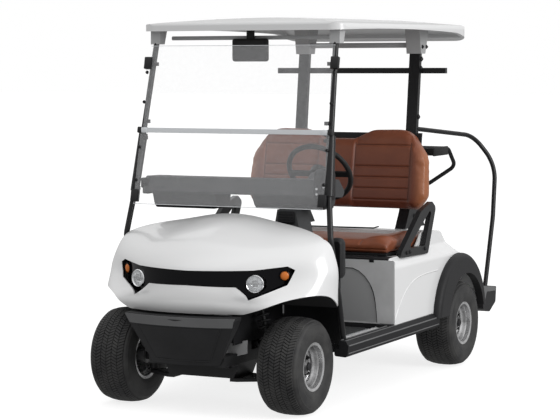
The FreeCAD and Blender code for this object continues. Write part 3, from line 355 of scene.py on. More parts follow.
# %% Dress the CAD parts
DRESS = {
    "body_white": ["front_cowl", "rear_body"], "roof_white": ["roof"], "band_black": ["lamp_band"],
    "strut_black": ["front_struts", "rear_struts", "armrests", "rack_tubes", "bag_bar"],
    "foot_grey": ["roof_brackets"], "frame_black": ["chassis_frame", "front_suspension", "rear_axle",
                                                    "knuckle_left", "knuckle_right", "tie_rods"],
    "trim_dark": ["front_bumper", "fender_flares", "rear_bumper", "mirror", "seat_frame"],
    "liner_black": ["wheel_liners"], "sill_black": ["sills"], "panel_grey": ["seat_pod"],
    "dash_grey": ["dashboard", "steering_column"], "floor_grey": ["floor_pan", "bag_floor"],
    "mat_rubber": ["floor_mat"], "battery_plastic": ["battery_pack"],
    "wheel_grip": ["steering_wheel", "pedals"], "motor_alloy": ["drive_motor"],
    "rim_front": ["rim_front_left", "rim_front_right"], "rim_rear": ["rim_rear_left", "rim_rear_right"],
    "spring_steel": ["rear_suspension", "rack_housing"],
    "tyre_rubber": ["tyre_" + wheel for wheel in WHEEL_PLACES],
    "lamp_clear": ["headlamps"], "lamp_amber": ["indicators"], "lamp_red": ["tail_lamps"],
    "screen_clear": ["windscreen_lower", "windscreen_upper"], "screen_trim": ["windscreen_hinge"],
    "seat_plain": ["seat_cushion", "seat_back"]}


def paint(obj, finish):
    obj.data.materials.clear()
    obj.data.materials.append(FINISHES[finish])


for finish, node_names in DRESS.items():
    for node_name in node_names:
        paint(NODES[node_name], finish)
print("dressed:", sum(len(names) for names in DRESS.values()), "of", len(NODES))

# %% [markdown]
# ## From a bmesh to a finished piece
# Small helpers keep the cells below short. They turn a bmesh into an object that rides on a body and knows
# its material slot, and add rounded blocks, a round post or a shape turned on a lathe to a bmesh.

# %% Piece helpers


def as_object(name, bm):
    """Puts a bmesh into the scene as a new object."""
    mesh = bpy.data.meshes.new(name)
    bm.to_mesh(mesh)
    bm.free()
    made = bpy.data.objects.new(name, mesh)
    bpy.context.scene.collection.objects.link(made)
    return made


def piece(name, bm, finish, body="chassis", crisp=35):
    """Finishes a bmesh as a piece on a body; edges sharper than the angle stay crisp."""
    made = as_object(name, bm)
    made.data.shade_smooth()
    made.data.set_sharp_from_angle(angle=math.radians(crisp))
    paint(made, finish)
    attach(made, body)
    return made


def block(bm, low, high, rounding=0.0, turn=None, segments=2):
    """A box between two corners, with rounded edges, turned about its own middle."""
    middle = (Vector(low) + Vector(high)) / 2
    span = Vector(high) - Vector(low)
    place = Matrix.Translation(middle) @ (turn or Matrix.Identity(4)) @ Matrix.Diagonal(span.to_4d())
    made = bmesh.ops.create_cube(bm, size=1, matrix=place)
    if rounding:
        edges = list({edge for vert in made["verts"] for edge in vert.link_edges})
        bmesh.ops.bevel(bm, geom=edges, offset=rounding, segments=segments, profile=0.5, affect="EDGES",
                        material=-1)


def post(bm, start, end, radius, end_radius=None, segments=24):
    """A round bar or cone between two points."""
    along = Vector(end) - Vector(start)
    turn = along.to_track_quat("Z", "Y").to_matrix().to_4x4()
    place = Matrix.Translation((Vector(start) + Vector(end)) / 2) @ turn
    bmesh.ops.create_cone(bm, cap_ends=True, segments=segments, radius1=radius, radius2=end_radius or radius,
                          depth=along.length, matrix=place)


def lathe(bm, profile, centre, axis, steps=48):
    """A profile of points turned once round an axis."""
    verts = [bm.verts.new(point) for point in profile]
    edges = [bm.edges.new(pair) for pair in zip(verts, verts[1:])]
    bmesh.ops.spin(bm, geom=verts + edges, cent=centre, axis=axis, angle=math.tau, steps=steps,
                   use_merge=True)


def blocks(bm, rows, sides=SIDES):
    """Rounded blocks from rows of three spans and a rounding, on both sides of the cart or as they are."""
    for (x0, x1), (y0, y1), (z0, z1), rounding in rows:
        for side in sides:
            block(bm, (min(side * x0, side * x1), y0, z0), (max(side * x0, side * x1), y1, z1), rounding)


def block_piece(name, rows, finish, body="chassis", sides=SIDES):
    """A piece of rounded blocks only."""
    bm = bmesh.new()
    blocks(bm, rows, sides)
    return piece(name, bm, finish, body)


def closed(bm):
    """Welds seams and poles and turns the faces outwards."""
    bmesh.ops.remove_doubles(bm, verts=bm.verts[:], dist=1e-5)
    bmesh.ops.recalc_face_normals(bm, faces=bm.faces[:])


print("piece helpers ready")

# %% [markdown]
# ## Plates and thin lines
# Several small parts are flat plates of a simple outline: the arched panel of the seat pod, the shield
# behind the bumper, the end of the rear step. Others are thin round lines along a path. One helper
# fills an outline and thickens it, another strings short round bars with a ball at each bend.

# %% Plate and line helpers


def thicken(bm, faces, depth):
    """Gives flat faces a thickness."""
    made = bmesh.ops.extrude_face_region(bm, geom=faces)
    moved = [item for item in made["geom"] if isinstance(item, bmesh.types.BMVert)]
    bmesh.ops.translate(bm, verts=moved, vec=depth)
    bmesh.ops.recalc_face_normals(bm, faces=bm.faces[:])


def plate(bm, outline, depth):
    """Fills an outline and gives it depth."""
    thicken(bm, [bm.faces.new([bm.verts.new(point) for point in outline])], depth)


def line(bm, path, radius, segments=8, ring=False):
    """A thin round line along a path, which may close into a ring."""
    for start, end in zip(path, path[1:] + (path[:1] if ring else [])):
        post(bm, start, end, radius, segments=segments)
    for place in path:
        bmesh.ops.create_uvsphere(bm, u_segments=segments, v_segments=6, radius=radius,
                                  matrix=Matrix.Translation(place))


print("plate and line helpers ready")

# %% [markdown]
# ## Tyres
# Each tyre is a low turf tyre: six ribs of small slanted blocks, soft shoulders and a plain sidewall with
# moulded rings. The tread is made flat, where it is easy: a grid whose columns slant to and fro, each face
# inset and raised into a block with sloping walls. Then the sheet is rolled up round the axle and welded to
# the carcass, which is a sidewall profile turned on a lathe with as many steps as the tread has blocks.

# %% Tyres
TYRE_RADIUS = 0.2285
TREAD_HALF = 0.086
TREAD_DEPTH = 0.0055
TREAD_ROWS = 6
TREAD_PITCHES = 92
TREAD_SLANT = 0.0075
TREAD_GAP = 0.0032
CROWN_DROP = 0.0125
SIDEWALL = [(0.0925, 0.2088), (0.0968, 0.2050), (0.0996, 0.2003), (0.1032, 0.1968), (0.1030, 0.1940),
            (0.1052, 0.1885), (0.1066, 0.1780), (0.1072, 0.1660), (0.1068, 0.1545), (0.1058, 0.1518),
            (0.1066, 0.1490), (0.1058, 0.1462), (0.1050, 0.1400), (0.1028, 0.1315), (0.0996, 0.1240),
            (0.0962, 0.1185), (0.0958, 0.1152), (0.0885, 0.1152), (0.0800, 0.1100), (0.0720, 0.1040),
            (0.0800, 0.1220), (0.0930, 0.1450), (0.0945, 0.1700), (0.0880, 0.1920), (0.0600, 0.2020)]


def crown(x):
    """The tread's radius across its width."""
    return TYRE_RADIUS - CROWN_DROP * abs(x / TREAD_HALF) ** 2.6


def rolled(centre_x, axle_y, x, radius, angle):
    """A place on the tyre from one across it, a radius and an angle round the axle."""
    return Vector((centre_x + x, axle_y + radius * math.cos(angle), AXLE_Z + radius * math.sin(angle)))


def tyre(wheel):
    centre_x, axle_y = WHEEL_PLACES[wheel]
    length = math.tau * TYRE_RADIUS
    bm = bmesh.new()
    bmesh.ops.create_grid(bm, x_segments=TREAD_ROWS, y_segments=TREAD_PITCHES, size=0.5)
    for vert in bm.verts:
        column = round((vert.co.x + 0.5) * TREAD_ROWS)
        vert.co.y = vert.co.y * length + (TREAD_SLANT if column % 2 else -TREAD_SLANT)
        vert.co.x *= 2 * TREAD_HALF
    tops = bm.faces[:]
    bmesh.ops.inset_individual(bm, faces=tops, thickness=TREAD_GAP, depth=TREAD_DEPTH)
    for face in tops:
        middle = face.calc_center_median()
        for vert in face.verts:
            vert.co.x = middle.x + (vert.co.x - middle.x) * 1.04
    for vert in bm.verts:
        radius = crown(vert.co.x) - TREAD_DEPTH + vert.co.z
        vert.co = rolled(centre_x, axle_y, vert.co.x, radius, vert.co.y / TYRE_RADIUS)
    half = [(TREAD_HALF, crown(TREAD_HALF) - TREAD_DEPTH)] + SIDEWALL
    profile = half + [(-x, radius) for x, radius in reversed(half)]
    start = -TREAD_SLANT / TYRE_RADIUS
    points = [rolled(centre_x, axle_y, x, radius, start) for x, radius in profile]
    lathe(bm, points, (centre_x, axle_y, AXLE_Z), (1, 0, 0), TREAD_PITCHES)
    bmesh.ops.remove_doubles(bm, verts=bm.verts[:], dist=2e-4)
    bmesh.ops.recalc_face_normals(bm, faces=bm.faces[:])
    made = piece("tyre_tread_" + wheel, bm, "tyre_rubber", "wheel_" + wheel, 40)
    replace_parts(made, "tyre_" + wheel)
    return len(made.data.polygons)


print("tyres:", [tyre(wheel) for wheel in WHEEL_PLACES], "faces")

# %% [markdown]
# ## Wheel nuts and hub caps
# The steel wheel is held by four nuts on the disc, and a pressed dust cap closes the hub. Both sit deep in
# the dish. A six-sided cone with a shallow chamfer reads as a nut, and the cap is a small lathe profile.

# %% Wheel nuts and hub caps
NUT_CIRCLE = 0.0508
NUT_STACK = [(0.033, 0.037, 0.0125, 0.0125, 24), (0.037, 0.049, 0.0098, 0.0092, 6),
             (0.049, 0.056, 0.0055, 0.005, 16)]
HUB_CAP = [(0.0655, 0.0), (0.0760, 0.0), (0.0758, 0.012), (0.0735, 0.0185), (0.0655, 0.0205)]


def wheel_nuts(wheel):
    centre_x, axle_y = WHEEL_PLACES[wheel]
    out = 1 if centre_x > 0 else -1
    bm = bmesh.new()
    for turn in range(4):
        angle = math.radians(45 + 90 * turn)
        for depth, top, low_radius, high_radius, sides in NUT_STACK:
            start = rolled(centre_x, axle_y, out * depth, NUT_CIRCLE, angle)
            end = rolled(centre_x, axle_y, out * top, NUT_CIRCLE, angle)
            post(bm, start, end, low_radius, high_radius, sides)
    lathe(bm, [(centre_x + out * x, axle_y + radius, AXLE_Z) for x, radius in HUB_CAP],
          (centre_x, axle_y, AXLE_Z), (1, 0, 0), 32)
    closed(bm)
    piece("wheel_nuts_" + wheel, bm, "spring_steel", "wheel_" + wheel)


for wheel in WHEEL_PLACES:
    wheel_nuts(wheel)
print("wheel nuts and caps on", len(WHEEL_PLACES), "wheels")

# %% [markdown]
# ## Leather
# The seats are covered in saddle-brown artificial leather. It has a fine pebble grain, a slow change of tone,
# and dark thin lines where panels are sewn. The lines are where the channels are pressed into the pad below,
# so the finish takes the same lists of places: heights of the level seams and distances of the upright ones.
# On the back rest, painted shade darkens the lower part and a painted highlight lightens the outer bolsters.

# %% Leather finish
BACK_LEAN = 0.1825
BACK_SEAMS = {"level": [0.904, 0.963, 1.021, 1.078, 1.189], "upright": [0.108, 0.425],
              "across": (0.107, 0.426), "rise": (0.885, 1.200)}
SEAM_HALF = 0.0022
SEAM_SOFT = 0.002


def leather(name, seams=None):
    hide = Finish(name, (0.22, 0.066, 0.031), specular_ior_level=0.4)
    tone = hide.noise(5, 5)
    colour = hide.blend((tone - 0.3) * 2.0, (0.165, 0.046, 0.021), (0.29, 0.090, 0.040))
    grain = hide.cells(520) + hide.noise(900, 3) * 0.5
    if seams:
        across = hide.along("x").sum("ABSOLUTE")
        height = hide.along("z")
        marks = []
        for kind, way, other, span in (("level", height, across, "across"),
                                       ("upright", across, height, "rise")):
            low, high = seams[span]
            inside = other.above(low, SEAM_SOFT) * (1 - other.above(high, SEAM_SOFT))
            for place in seams[kind]:
                marks.append((1 - ((way - place).sum("ABSOLUTE") / SEAM_HALF)).sum("MAXIMUM", 0) * inside)
        sewn = marks[0]
        for mark in marks[1:]:
            sewn = sewn.sum("MAXIMUM", mark)
        # Painted shade: below about 0.98 m the back rest turns a darker brown.
        colour = hide.blend(height.above(0.98, 0.30) * 0.7, (0.110, 0.030, 0.017), colour)
        # Painted highlight: the outer ends of the back rest turn a lighter orange-brown.
        colour = hide.blend(across.above(0.478, 0.05) * 0.55, colour, (0.42, 0.155, 0.060))
        colour = hide.blend(sewn * 0.85, colour, (0.012, 0.004, 0.003))
    hide.set(base_color=colour, roughness=tone * 0.22 + 0.27)
    hide.bump(grain, 0.22, 0.0009)


leather("back_leather", BACK_SEAMS)
leather("cushion_leather")
print("leather for the back and the cushion")

# %% [markdown]
# ## Padded seats
# A seat pad is foam under a stretched cover: its edges are full and round, its middle is drawn in by the
# seams. The pad starts as a copy of the CAD solid, a little smaller, remeshed to even squares. A cloth
# simulation with air pressure inside swells it, each point kept within a cap, so that it stays in the room of
# the solid. After that the bolsters and sewn channels are pressed in by moving points, because a remesh
# would have erased them.

# %% Padding helpers
VOXEL = 0.0075
CLOTH_FRAMES = 20
CLOTH_PRESSURE = 4.0
CLOTH_STIFFNESS = 30


def solid_copy(node, shrink):
    """A welded copy of a CAD node's mesh, scaled about its own middle."""
    bm = bmesh.new()
    bm.from_mesh(NODES[node].data)
    bmesh.ops.remove_doubles(bm, verts=bm.verts[:], dist=1e-5)
    low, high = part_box(node)
    middle = (low + high) / 2
    bmesh.ops.translate(bm, verts=bm.verts[:], vec=-middle)
    bmesh.ops.scale(bm, verts=bm.verts[:], vec=shrink)
    bmesh.ops.translate(bm, verts=bm.verts[:], vec=middle)
    return bm


def smoothed(obj, rounds):
    bm = bmesh.new()
    bm.from_mesh(obj.data)
    for _ in range(rounds):
        bmesh.ops.smooth_vert(bm, verts=bm.verts[:], factor=0.5, use_axis_x=True, use_axis_y=True,
                              use_axis_z=True)
    bm.to_mesh(obj.data)
    bm.free()


def applied(obj):
    """Puts the mesh that the object's modifiers make in place of its own."""
    graph = bpy.context.evaluated_depsgraph_get()
    mesh = bpy.data.meshes.new_from_object(obj.evaluated_get(graph))
    obj.modifiers.clear()
    obj.data = mesh


def swelled(name, bm, cap, rounds=6):
    """Remeshes a closed shape, rounds its edges and blows it up as cloth, each point by the cap at most."""
    pad = as_object(name, bm)
    remesh = pad.modifiers.new("remesh", "REMESH")
    remesh.mode = "VOXEL"
    remesh.voxel_size = VOXEL
    applied(pad)
    smoothed(pad, rounds)
    start = [vert.co.copy() for vert in pad.data.vertices]
    cloth = pad.modifiers.new("cloth", "CLOTH")
    cloth.settings.quality = 4
    cloth.settings.use_pressure = True
    cloth.settings.uniform_pressure_force = CLOTH_PRESSURE
    cloth.settings.effector_weights.gravity = 0
    cloth.settings.tension_stiffness = CLOTH_STIFFNESS
    cloth.settings.compression_stiffness = CLOTH_STIFFNESS
    cloth.point_cache.frame_end = CLOTH_FRAMES
    for step in range(1, CLOTH_FRAMES + 1):
        bpy.context.scene.frame_set(step)
    applied(pad)
    bpy.context.scene.frame_set(1)
    for vert, before in zip(pad.data.vertices, start):
        move = vert.co - before
        if move.length > cap:
            vert.co = before + move * (cap / move.length)
    smoothed(pad, 4)
    return pad


def fitted(pad, low, high):
    """Scales a pad into a box, since the smoothing and the stretched cover draw it in, and refines it."""
    for axis in range(3):
        places = [vert.co[axis] for vert in pad.data.vertices]
        least = min(places)
        ratio = (high[axis] - low[axis]) / (max(places) - least)
        for vert in pad.data.vertices:
            vert.co[axis] = low[axis] + (vert.co[axis] - least) * ratio
    finer = pad.modifiers.new("finer", "SUBSURF")
    finer.levels = finer.render_levels = 1
    applied(pad)
    return zip(pad.data.vertices, [vert.normal.copy() for vert in pad.data.vertices])


def dress_pad(pad, finish, body, node):
    """Lets a pad take a node's place."""
    pad.data.shade_smooth()
    paint(pad, finish)
    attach(pad, body)
    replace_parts(pad, node)
    print(pad.name, "has", len(pad.data.polygons), "faces")


def smooth_step(value, low, high):
    share = min(1, max(0, (value - low) / (high - low)))
    return share * share * (3 - 2 * share)


def between(value, low_start, low_end, high_start, high_end):
    """1 between two soft edges and 0 outside them."""
    return smooth_step(value, low_start, low_end) * (1 - smooth_step(value, high_start, high_end))


def groove(distance, width):
    """1 on a seam and 0 at its width, with a round bottom."""
    share = min(1, abs(distance) / width)
    return (1 - share * share) ** 2


print("padding helpers ready; simulation", "on")

# %% [markdown]
# ## Back rest
# The back rest is one wide pad with a hump behind each person. Each half has a flat centre panel, framed by
# upright seams and crossed by five level channels, and rounder bolsters stand a little proud beside it.

# %% Back rest
SEAM_GROOVE = 0.008
pad = swelled("seat_back_pad", solid_copy("seat_back", (0.99, 0.95, 0.985)), 0.014)
low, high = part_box("seat_back")
outward = Vector((0, -1, BACK_LEAN)) / math.sqrt(1 + BACK_LEAN ** 2)
low -= Vector((0.007, 0.006, 0.016))
high += Vector((0.007, 0.009, 0.001))
for vert, normal in fitted(pad, low, high):
    facing = smooth_step(normal.dot(outward), 0.25, 0.8)
    if not facing:
        continue
    x = abs(vert.co.x)
    z = vert.co.z
    panel = between(x, 0.092, 0.118, 0.415, 0.448)
    framed = between(z, 0.888, 0.910, 1.182, 1.206)
    level = max(groove(z - place, SEAM_GROOVE) for place in BACK_SEAMS["level"]) * panel
    upright = max(groove(x - place, SEAM_GROOVE) for place in BACK_SEAMS["upright"]) * framed
    move = 0.004 - 0.010 * panel - 0.0042 * max(level, upright)
    vert.co += outward * move * facing
dress_pad(pad, "back_leather", "chassis", "seat_back")

# %% [markdown]
# ## Cushion
# The bench cushion is flat and low in the middle, with a raised round bolster at each end that keeps its
# rider in place. It hinges up with the cushion body, and a black base board under it, which also stands in
# for the shadow under the front edge, shows as a dark line. A black band on the front edge of the pod below
# is painted shadow.

# %% Cushion
BOLSTER_SEAM = 0.372
PIPING_Z = 0.690
bm = solid_copy("seat_cushion", (0.985, 0.96, 0.82))
bmesh.ops.translate(bm, verts=bm.verts[:], vec=(0, 0, 0.006))
pad = swelled("seat_cushion_pad", bm, 0.012, rounds=5)
low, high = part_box("seat_cushion")
for vert, normal in fitted(pad, low + Vector((0, 0, 0.008)), high + Vector((0, -0.002, 0.003))):
    x = abs(vert.co.x)
    up = smooth_step(normal.z, 0.2, 0.8)
    front = smooth_step(-normal.y, 0.3, 0.8)
    seam = groove(x - BOLSTER_SEAM, 0.009) + groove(x, 0.009)
    vert.co.z -= 0.005 * min(1, seam) * up
    vert.co.y += 0.004 * groove(vert.co.z - PIPING_Z, 0.007) * front
    vert.co.z += 0.006 * up * between(x, 0.40, 0.46, 0.47, 0.52)
dress_pad(pad, "cushion_leather", "cushion", "seat_cushion")
# Painted shadow: the black board under the cushion doubles as the shadow line under its front edge, and the
# black band on the pod's front edge stands in for the shadow below the cushion.
block_piece("cushion_board", [((-0.515, 0.515), (-0.050, 0.385), (0.6565, 0.672), 0.004)], "sill_black",
            "cushion", ONCE)
block_piece("seat_base_band", [((-0.560, 0.560), (-0.1365, -0.045), (0.643, 0.656), 0.004)], "sill_black",
            sides=ONCE)

# %% [markdown]
# ## Lamps
# Each headlamp is a round unit behind clear plastic: a bright rim, a deep polished bowl, and a shade bar
# across the middle that splits it into two beams. The bowl and the rim are one lathe profile, the lens is a
# shallow dome in front. The amber lenses get their own soft domes, each in a black rim.

# %% Lamps
LAMP_PLACES = {"headlamp": (0.310, -1.094, 0.619, math.radians(16)),
               "indicator": (0.421, -1.008, 0.653, math.radians(30))}
LAMP_BARS = [(-0.034, 0.034, -0.0022, 0.0022, 0.004, 0.001), (-0.013, 0.013, -0.013, -0.007, 0.005, 0.001),
             (-0.012, -0.010, 0.004, 0.026, 0.004, 0.0005), (0.010, 0.012, 0.004, 0.026, 0.004, 0.0005)]
metal("lamp_chrome", (0.80, 0.81, 0.82), 0.12)
grained("lamp_bar", (0.10, 0.10, 0.105), 0.4)
clear_plastic("lens_clear", (0.90, 0.92, 0.94), 0.24, 0.05)


def lamp_turned(bm, name, profile, steps=40):
    """A profile of radius and depth behind the lamp's face, on both sides, facing a little outwards."""
    x, face, z, turn = LAMP_PLACES[name]
    for side in SIDES:
        before = set(bm.verts)
        centre = (side * x, face, z)
        points = [(side * x + radius, face + depth, z) for radius, depth in profile]
        lathe(bm, points, centre, (0, 1, 0), steps)
        turned = [vert for vert in bm.verts if vert not in before]
        bmesh.ops.rotate(bm, verts=turned, cent=centre, matrix=Matrix.Rotation(side * turn, 3, "Z"))
    closed(bm)


x, face, z, angle = LAMP_PLACES["headlamp"]
bm = bmesh.new()
lamp_turned(bm, "headlamp", [(0.0, 0.030), (0.016, 0.028), (0.027, 0.019), (0.0345, 0.004),
                             (0.0365, -0.003), (0.0395, -0.0055), (0.042, -0.002), (0.042, 0.060),
                             (0.0, 0.060)])
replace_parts(piece("headlamp_bowls", bm, "lamp_chrome"), "headlamps")
bm = bmesh.new()
for side in SIDES:
    turned = Matrix.Rotation(side * angle, 4, "Z")
    for left, right, low, high, depth, rounding in LAMP_BARS:
        block(bm, (side * x + left, face + 0.001, z + low), (side * x + right, face + depth, z + high),
              rounding, turned)
piece("headlamp_bars", bm, "lamp_bar")
bm = bmesh.new()
lamp_turned(bm, "headlamp", [(0.0365, -0.002), (0.031, -0.0055), (0.018, -0.0085), (0.0, -0.0095)])
piece("headlamp_lenses", bm, "lens_clear")
bm = bmesh.new()
lamp_turned(bm, "indicator", [(0.0, -0.0065), (0.010, -0.0055), (0.018, -0.002), (0.0215, 0.003),
                              (0.0215, 0.07), (0.0, 0.07)], 32)
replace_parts(piece("indicator_lenses", bm, "lamp_amber"), "indicators")
bm = bmesh.new()
lamp_turned(bm, "indicator", [(0.0215, 0.001), (0.0225, -0.002), (0.0245, -0.001), (0.025, 0.006),
                              (0.0215, 0.006)], 32)
piece("indicator_rims", bm, "band_black")
print("lamps: two headlamps and two indicators")

# %% [markdown]
# ## A skin over chosen faces
# The top of the rear step is a lighter grey than its sides. A thin skin is made from a copy of the CAD faces
# that pass a test, pushed out by less than a millimetre, so it follows the solid exactly.

# %% Two-tone skin
SKIN_LIFT = 0.0008


def skin(name, node, keeps, finish):
    """A thin shell just over the faces of a node that pass the test."""
    bm = bmesh.new()
    bm.from_mesh(NODES[node].data)
    closed(bm)
    away = [face for face in bm.faces if not keeps(face.normal, face.calc_center_median())]
    bmesh.ops.delete(bm, geom=away, context="FACES")
    for vert in bm.verts:
        vert.co += vert.normal * SKIN_LIFT
    piece(name, bm, finish, crisp=30)


def on_step_top(normal, place):
    return normal.z > 0.55 and place.z > 0.35


grained("step_grey", (0.13, 0.131, 0.133), 0.5, 200, 0.3, 1.2)
skin("rear_step_top", "rear_bumper", on_step_top, "step_grey")
print("light skin on the rear step")

# %% [markdown]
# ## Windscreen fittings
# The folding screen hangs on a clear hinge bar with end caps. Black clamps hold its panes to the struts, and
# small dome bolts sit along each strut. The panes' cut edges catch the light as pale thin lines.

# %% Windscreen fittings
SCREEN_FOOT = (-0.794, 0.945)
SCREEN_SLOPE = (0.794 - 0.620) / (1.715 - 0.945)
STRUT_LEAN = math.radians(-12.5)


def screen_face(z):
    """The windscreen's front at a height."""
    return SCREEN_FOOT[0] + (z - SCREEN_FOOT[1]) * SCREEN_SLOPE


def strut_bolt(bm, x, y, z, radius=0.009):
    post(bm, (x, y, z), (x, y - 0.006, z), radius, radius * 0.72, 16)


clamps = bmesh.new()
lean = Matrix.Rotation(STRUT_LEAN, 4, "X")
for side in SIDES:
    for z, tall, half in ((1.630, 0.060, 0.020), (1.303, 0.030, 0.010), (0.985, 0.060, 0.020)):
        y = screen_face(z)
        middle = side * (0.527 - half)
        block(clamps, (middle - half, y - 0.010, z - tall / 2), (middle + half, y + 0.016, z + tall / 2),
              0.004, lean)
    for z in (1.585, 1.44, 1.22, 1.06):
        strut_bolt(clamps, side * 0.508, screen_face(z) - 0.001, z)
piece("screen_clamps", clamps, "strut_black")
caps = bmesh.new()
blocks(caps, [((0.474, 0.506), (-0.722, -0.698), (1.290, 1.316), 0.004)])
for z, half in ((0.9455, 0.512), (1.2925, 0.512), (1.3135, 0.500), (1.7145, 0.500)):
    y = screen_face(z)
    block(caps, (-half, y - 0.0005, z - 0.0012), (half, y + 0.0058, z + 0.0012))
piece("screen_edges", caps, "screen_trim")
print("windscreen clamps, bolts and edges")

# %% [markdown]
# ## Dashboard fittings
# The driver's side has four small dials, and a louvred vent stands on the pedestal. Under the beam hang the
# shadowed bottoms of two bins, and a dark bracket with a bolt carries each end of the beam.

# %% Dashboard fittings
grained("dash_dark", (0.008, 0.008, 0.009), 0.4, 320, 0.2)
Finish("dial_face", (0.62, 0.63, 0.64), roughness=0.3)
dark = bmesh.new()
blocks(dark, [((0.467, 0.511), (-0.722, -0.640), (1.018, 1.068), 0.006)])
strut_bolt(dark, 0.492, -0.722, 1.043, 0.008)
strut_bolt(dark, -0.492, -0.722, 1.043, 0.008)
blocks(dark, [((0.463, 0.503), (-0.700, -0.650), (0.988, 1.022), 0.006),
              ((-0.515, -0.475), (-0.700, -0.650), (0.988, 1.022), 0.006),
              ((0.085, 0.445), (-0.651, -0.515), (0.930, 0.955), 0.008),
              ((-0.460, -0.125), (-0.668, -0.515), (0.921, 0.946), 0.008),
              ((0.246, 0.334), (-0.730, -0.716), (0.868, 0.926), 0.006)], ONCE)
louvres = [0.878 + step * 0.0125 for step in range(4)]
blocks(dark, [((0.252, 0.328), (-0.734, -0.726), (z - 0.002, z + 0.002), 0.001) for z in louvres], ONCE)
piece("dash_dark_fittings", dark, "dash_dark")
dials = bmesh.new()
for x, z in ((0.463, 1.039), (0.500, 1.049), (0.500, 1.016), (0.463, 1.014)):
    post(dials, (x, -0.748, z), (x, -0.754, z), 0.006, 0.0054, 20)
piece("dash_dials", dials, "dial_face")
print("dials, bin bottoms, brackets and vent")

# %% [markdown]
# ## Sills and floor
# The running board has two raised tread lines along its top and a light scuff strip on the floor's edge just
# inside it, ending in a small black heel block at the seat pod.

# %% Sill lines
grained("strip_light", (0.66, 0.662, 0.665), 0.45, 120, 0.5, 1.1)
SILL_ENDS = (-0.725, 0.410)
bm = bmesh.new()
blocks(bm, [((0.5735, 0.5805), SILL_ENDS, (0.3252, 0.3284), 0.001),
            ((0.5945, 0.6015), SILL_ENDS, (0.3226, 0.3258), 0.001)])
for x, low, high in ((0.6172, 0.2985, 0.3045), (0.6135, 0.262, 0.267)):
    for side in SIDES:
        block(bm, (side * x - 0.0015, SILL_ENDS[0], low), (side * x + 0.0022, SILL_ENDS[1], high), 0.001)
piece("sill_lines", bm, "step_grey")
starts = [-0.540 + step * 0.046 for step in range(9)]
rows = [((0.505, 0.561), (y, y + 0.022), (0.312, 0.3155), 0.001) for y in starts]
block_piece("floor_strips", [((0.499, 0.567), (-0.560, -0.146), (0.3070, 0.3125), 0.002)] + rows,
            "strip_light")
heels = bmesh.new()
blocks(heels, [((0.520, 0.600), (-0.190, -0.141), (0.316, 0.331), 0.004)])
block(heels, (-0.545, -0.1395, 0.262), (0.545, -0.1315, 0.332), 0.002)
piece("heel_blocks", heels, "sill_black")
print("sill lines, floor strips and heel blocks")

# %% [markdown]
# ## Bolts on the struts
# Dome bolts hold the roof to its light grey feet, the crossbar to the rear posts and the armrests to the
# body. Each is a short cone with a washer, and a table places them on the faces that point outwards.

# %% Strut bolts
BOLT_ROWS = [(0.360, 0.010, ((0.785, 1.640), (0.779, 1.590), (0.744, 1.330), (0.700, 0.885), (0.690, 0.800))),
             (0.372, 0.008, ((0.770, 1.705), (0.825, 1.705))),
             (0.582, 0.008, ((0.060, 0.668), (0.100, 0.668), (0.300, 0.668)))]
WASHER = 0.003
BOLT_HEAD = 0.009
bm = bmesh.new()
for side in SIDES:
    for x, radius, places in BOLT_ROWS:
        for y, z in places:
            foot = (side * (x + WASHER), y, z)
            post(bm, (side * x, y, z), foot, radius * 1.35, segments=20)
            post(bm, foot, (side * (x + BOLT_HEAD), y, z), radius, radius * 0.6, 16)
piece("strut_bolts", bm, "spring_steel")
print("bolts on the rear posts, feet and armrests")

# %% [markdown]
# ## Roof and mirror
# Pale rails stiffen the roof's edges underneath, in front and behind. Shallow ribs stiffen its skin; each
# follows the crown, whose height is felt with rays sent down onto the CAD roof. The mirror is a black rounded
# box on a short stem, with the glass towards the driver.

# %% Roof and mirror


def top_of(node):
    """A way to ask for the height of a node's top at a place."""
    mesh = bmesh.new()
    mesh.from_mesh(NODES[node].data)
    tree = BVHTree.FromBMesh(mesh)
    mesh.free()
    return lambda x, y: tree.ray_cast(Vector((x, y, 3)), Vector((0, 0, -1)))[0].z


RIB_PLACES = (-0.42, -0.2, 0.0, 0.2, 0.4, 0.6, 0.8)
RIB_RADIUS = 0.0055
RIB_SINK = 0.0035
height = top_of("roof")
bm = bmesh.new()
for x in (-0.36, -0.24, -0.12, 0.12, 0.24, 0.36):
    line(bm, [(x, y, height(x, y) - RIB_SINK) for y in RIB_PLACES], RIB_RADIUS, 10)
piece("roof_ribs", bm, "roof_white")
block_piece("roof_rails", [((-0.460, 0.460), (-0.490, -0.462), (1.742, 1.762), 0.005),
                           ((-0.320, 0.320), (0.760, 0.790), (1.700, 1.728), 0.006)],
            "foot_grey", sides=ONCE)
bm = bmesh.new()
block(bm, (-0.098, -0.536, 1.636), (0.098, -0.508, 1.748), 0.013, segments=4)
block(bm, (-0.020, -0.528, 1.740), (0.020, -0.512, 1.805), 0.004)
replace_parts(piece("mirror_case", bm, "wheel_grip"), "mirror")
block_piece("mirror_glass", [((-0.088, 0.088), (-0.5085, -0.5062), (1.646, 1.738), 0.001)],
            "lamp_chrome", sides=ONCE)
print("roof ribs, rails and mirror")

# %% [markdown]
# ## Seat pod and side panels
# The grey front of the seat pod has an arched access panel, a shade darker, with a black shadow line round
# it and a small latch above. On the white flank an arched crease rises from the front foot and runs back over
# the wheel. The crease is a curve by formula: steep at the foot, level at the top.

# %% Seat pod and side panels
POD_FRONT = -0.140
ARCH = [(0.503, 0.334), (0.500, 0.385), (0.494, 0.435), (0.482, 0.487), (0.463, 0.530), (0.436, 0.564),
        (0.405, 0.588), (0.370, 0.602)]
CREASE_STEPS = 14


def crease(share):
    """Where the flank's crease is, along the body and up."""
    return -0.134 + 0.56 * share, 0.352 + 0.192 * (1 - (1 - share) ** 4)


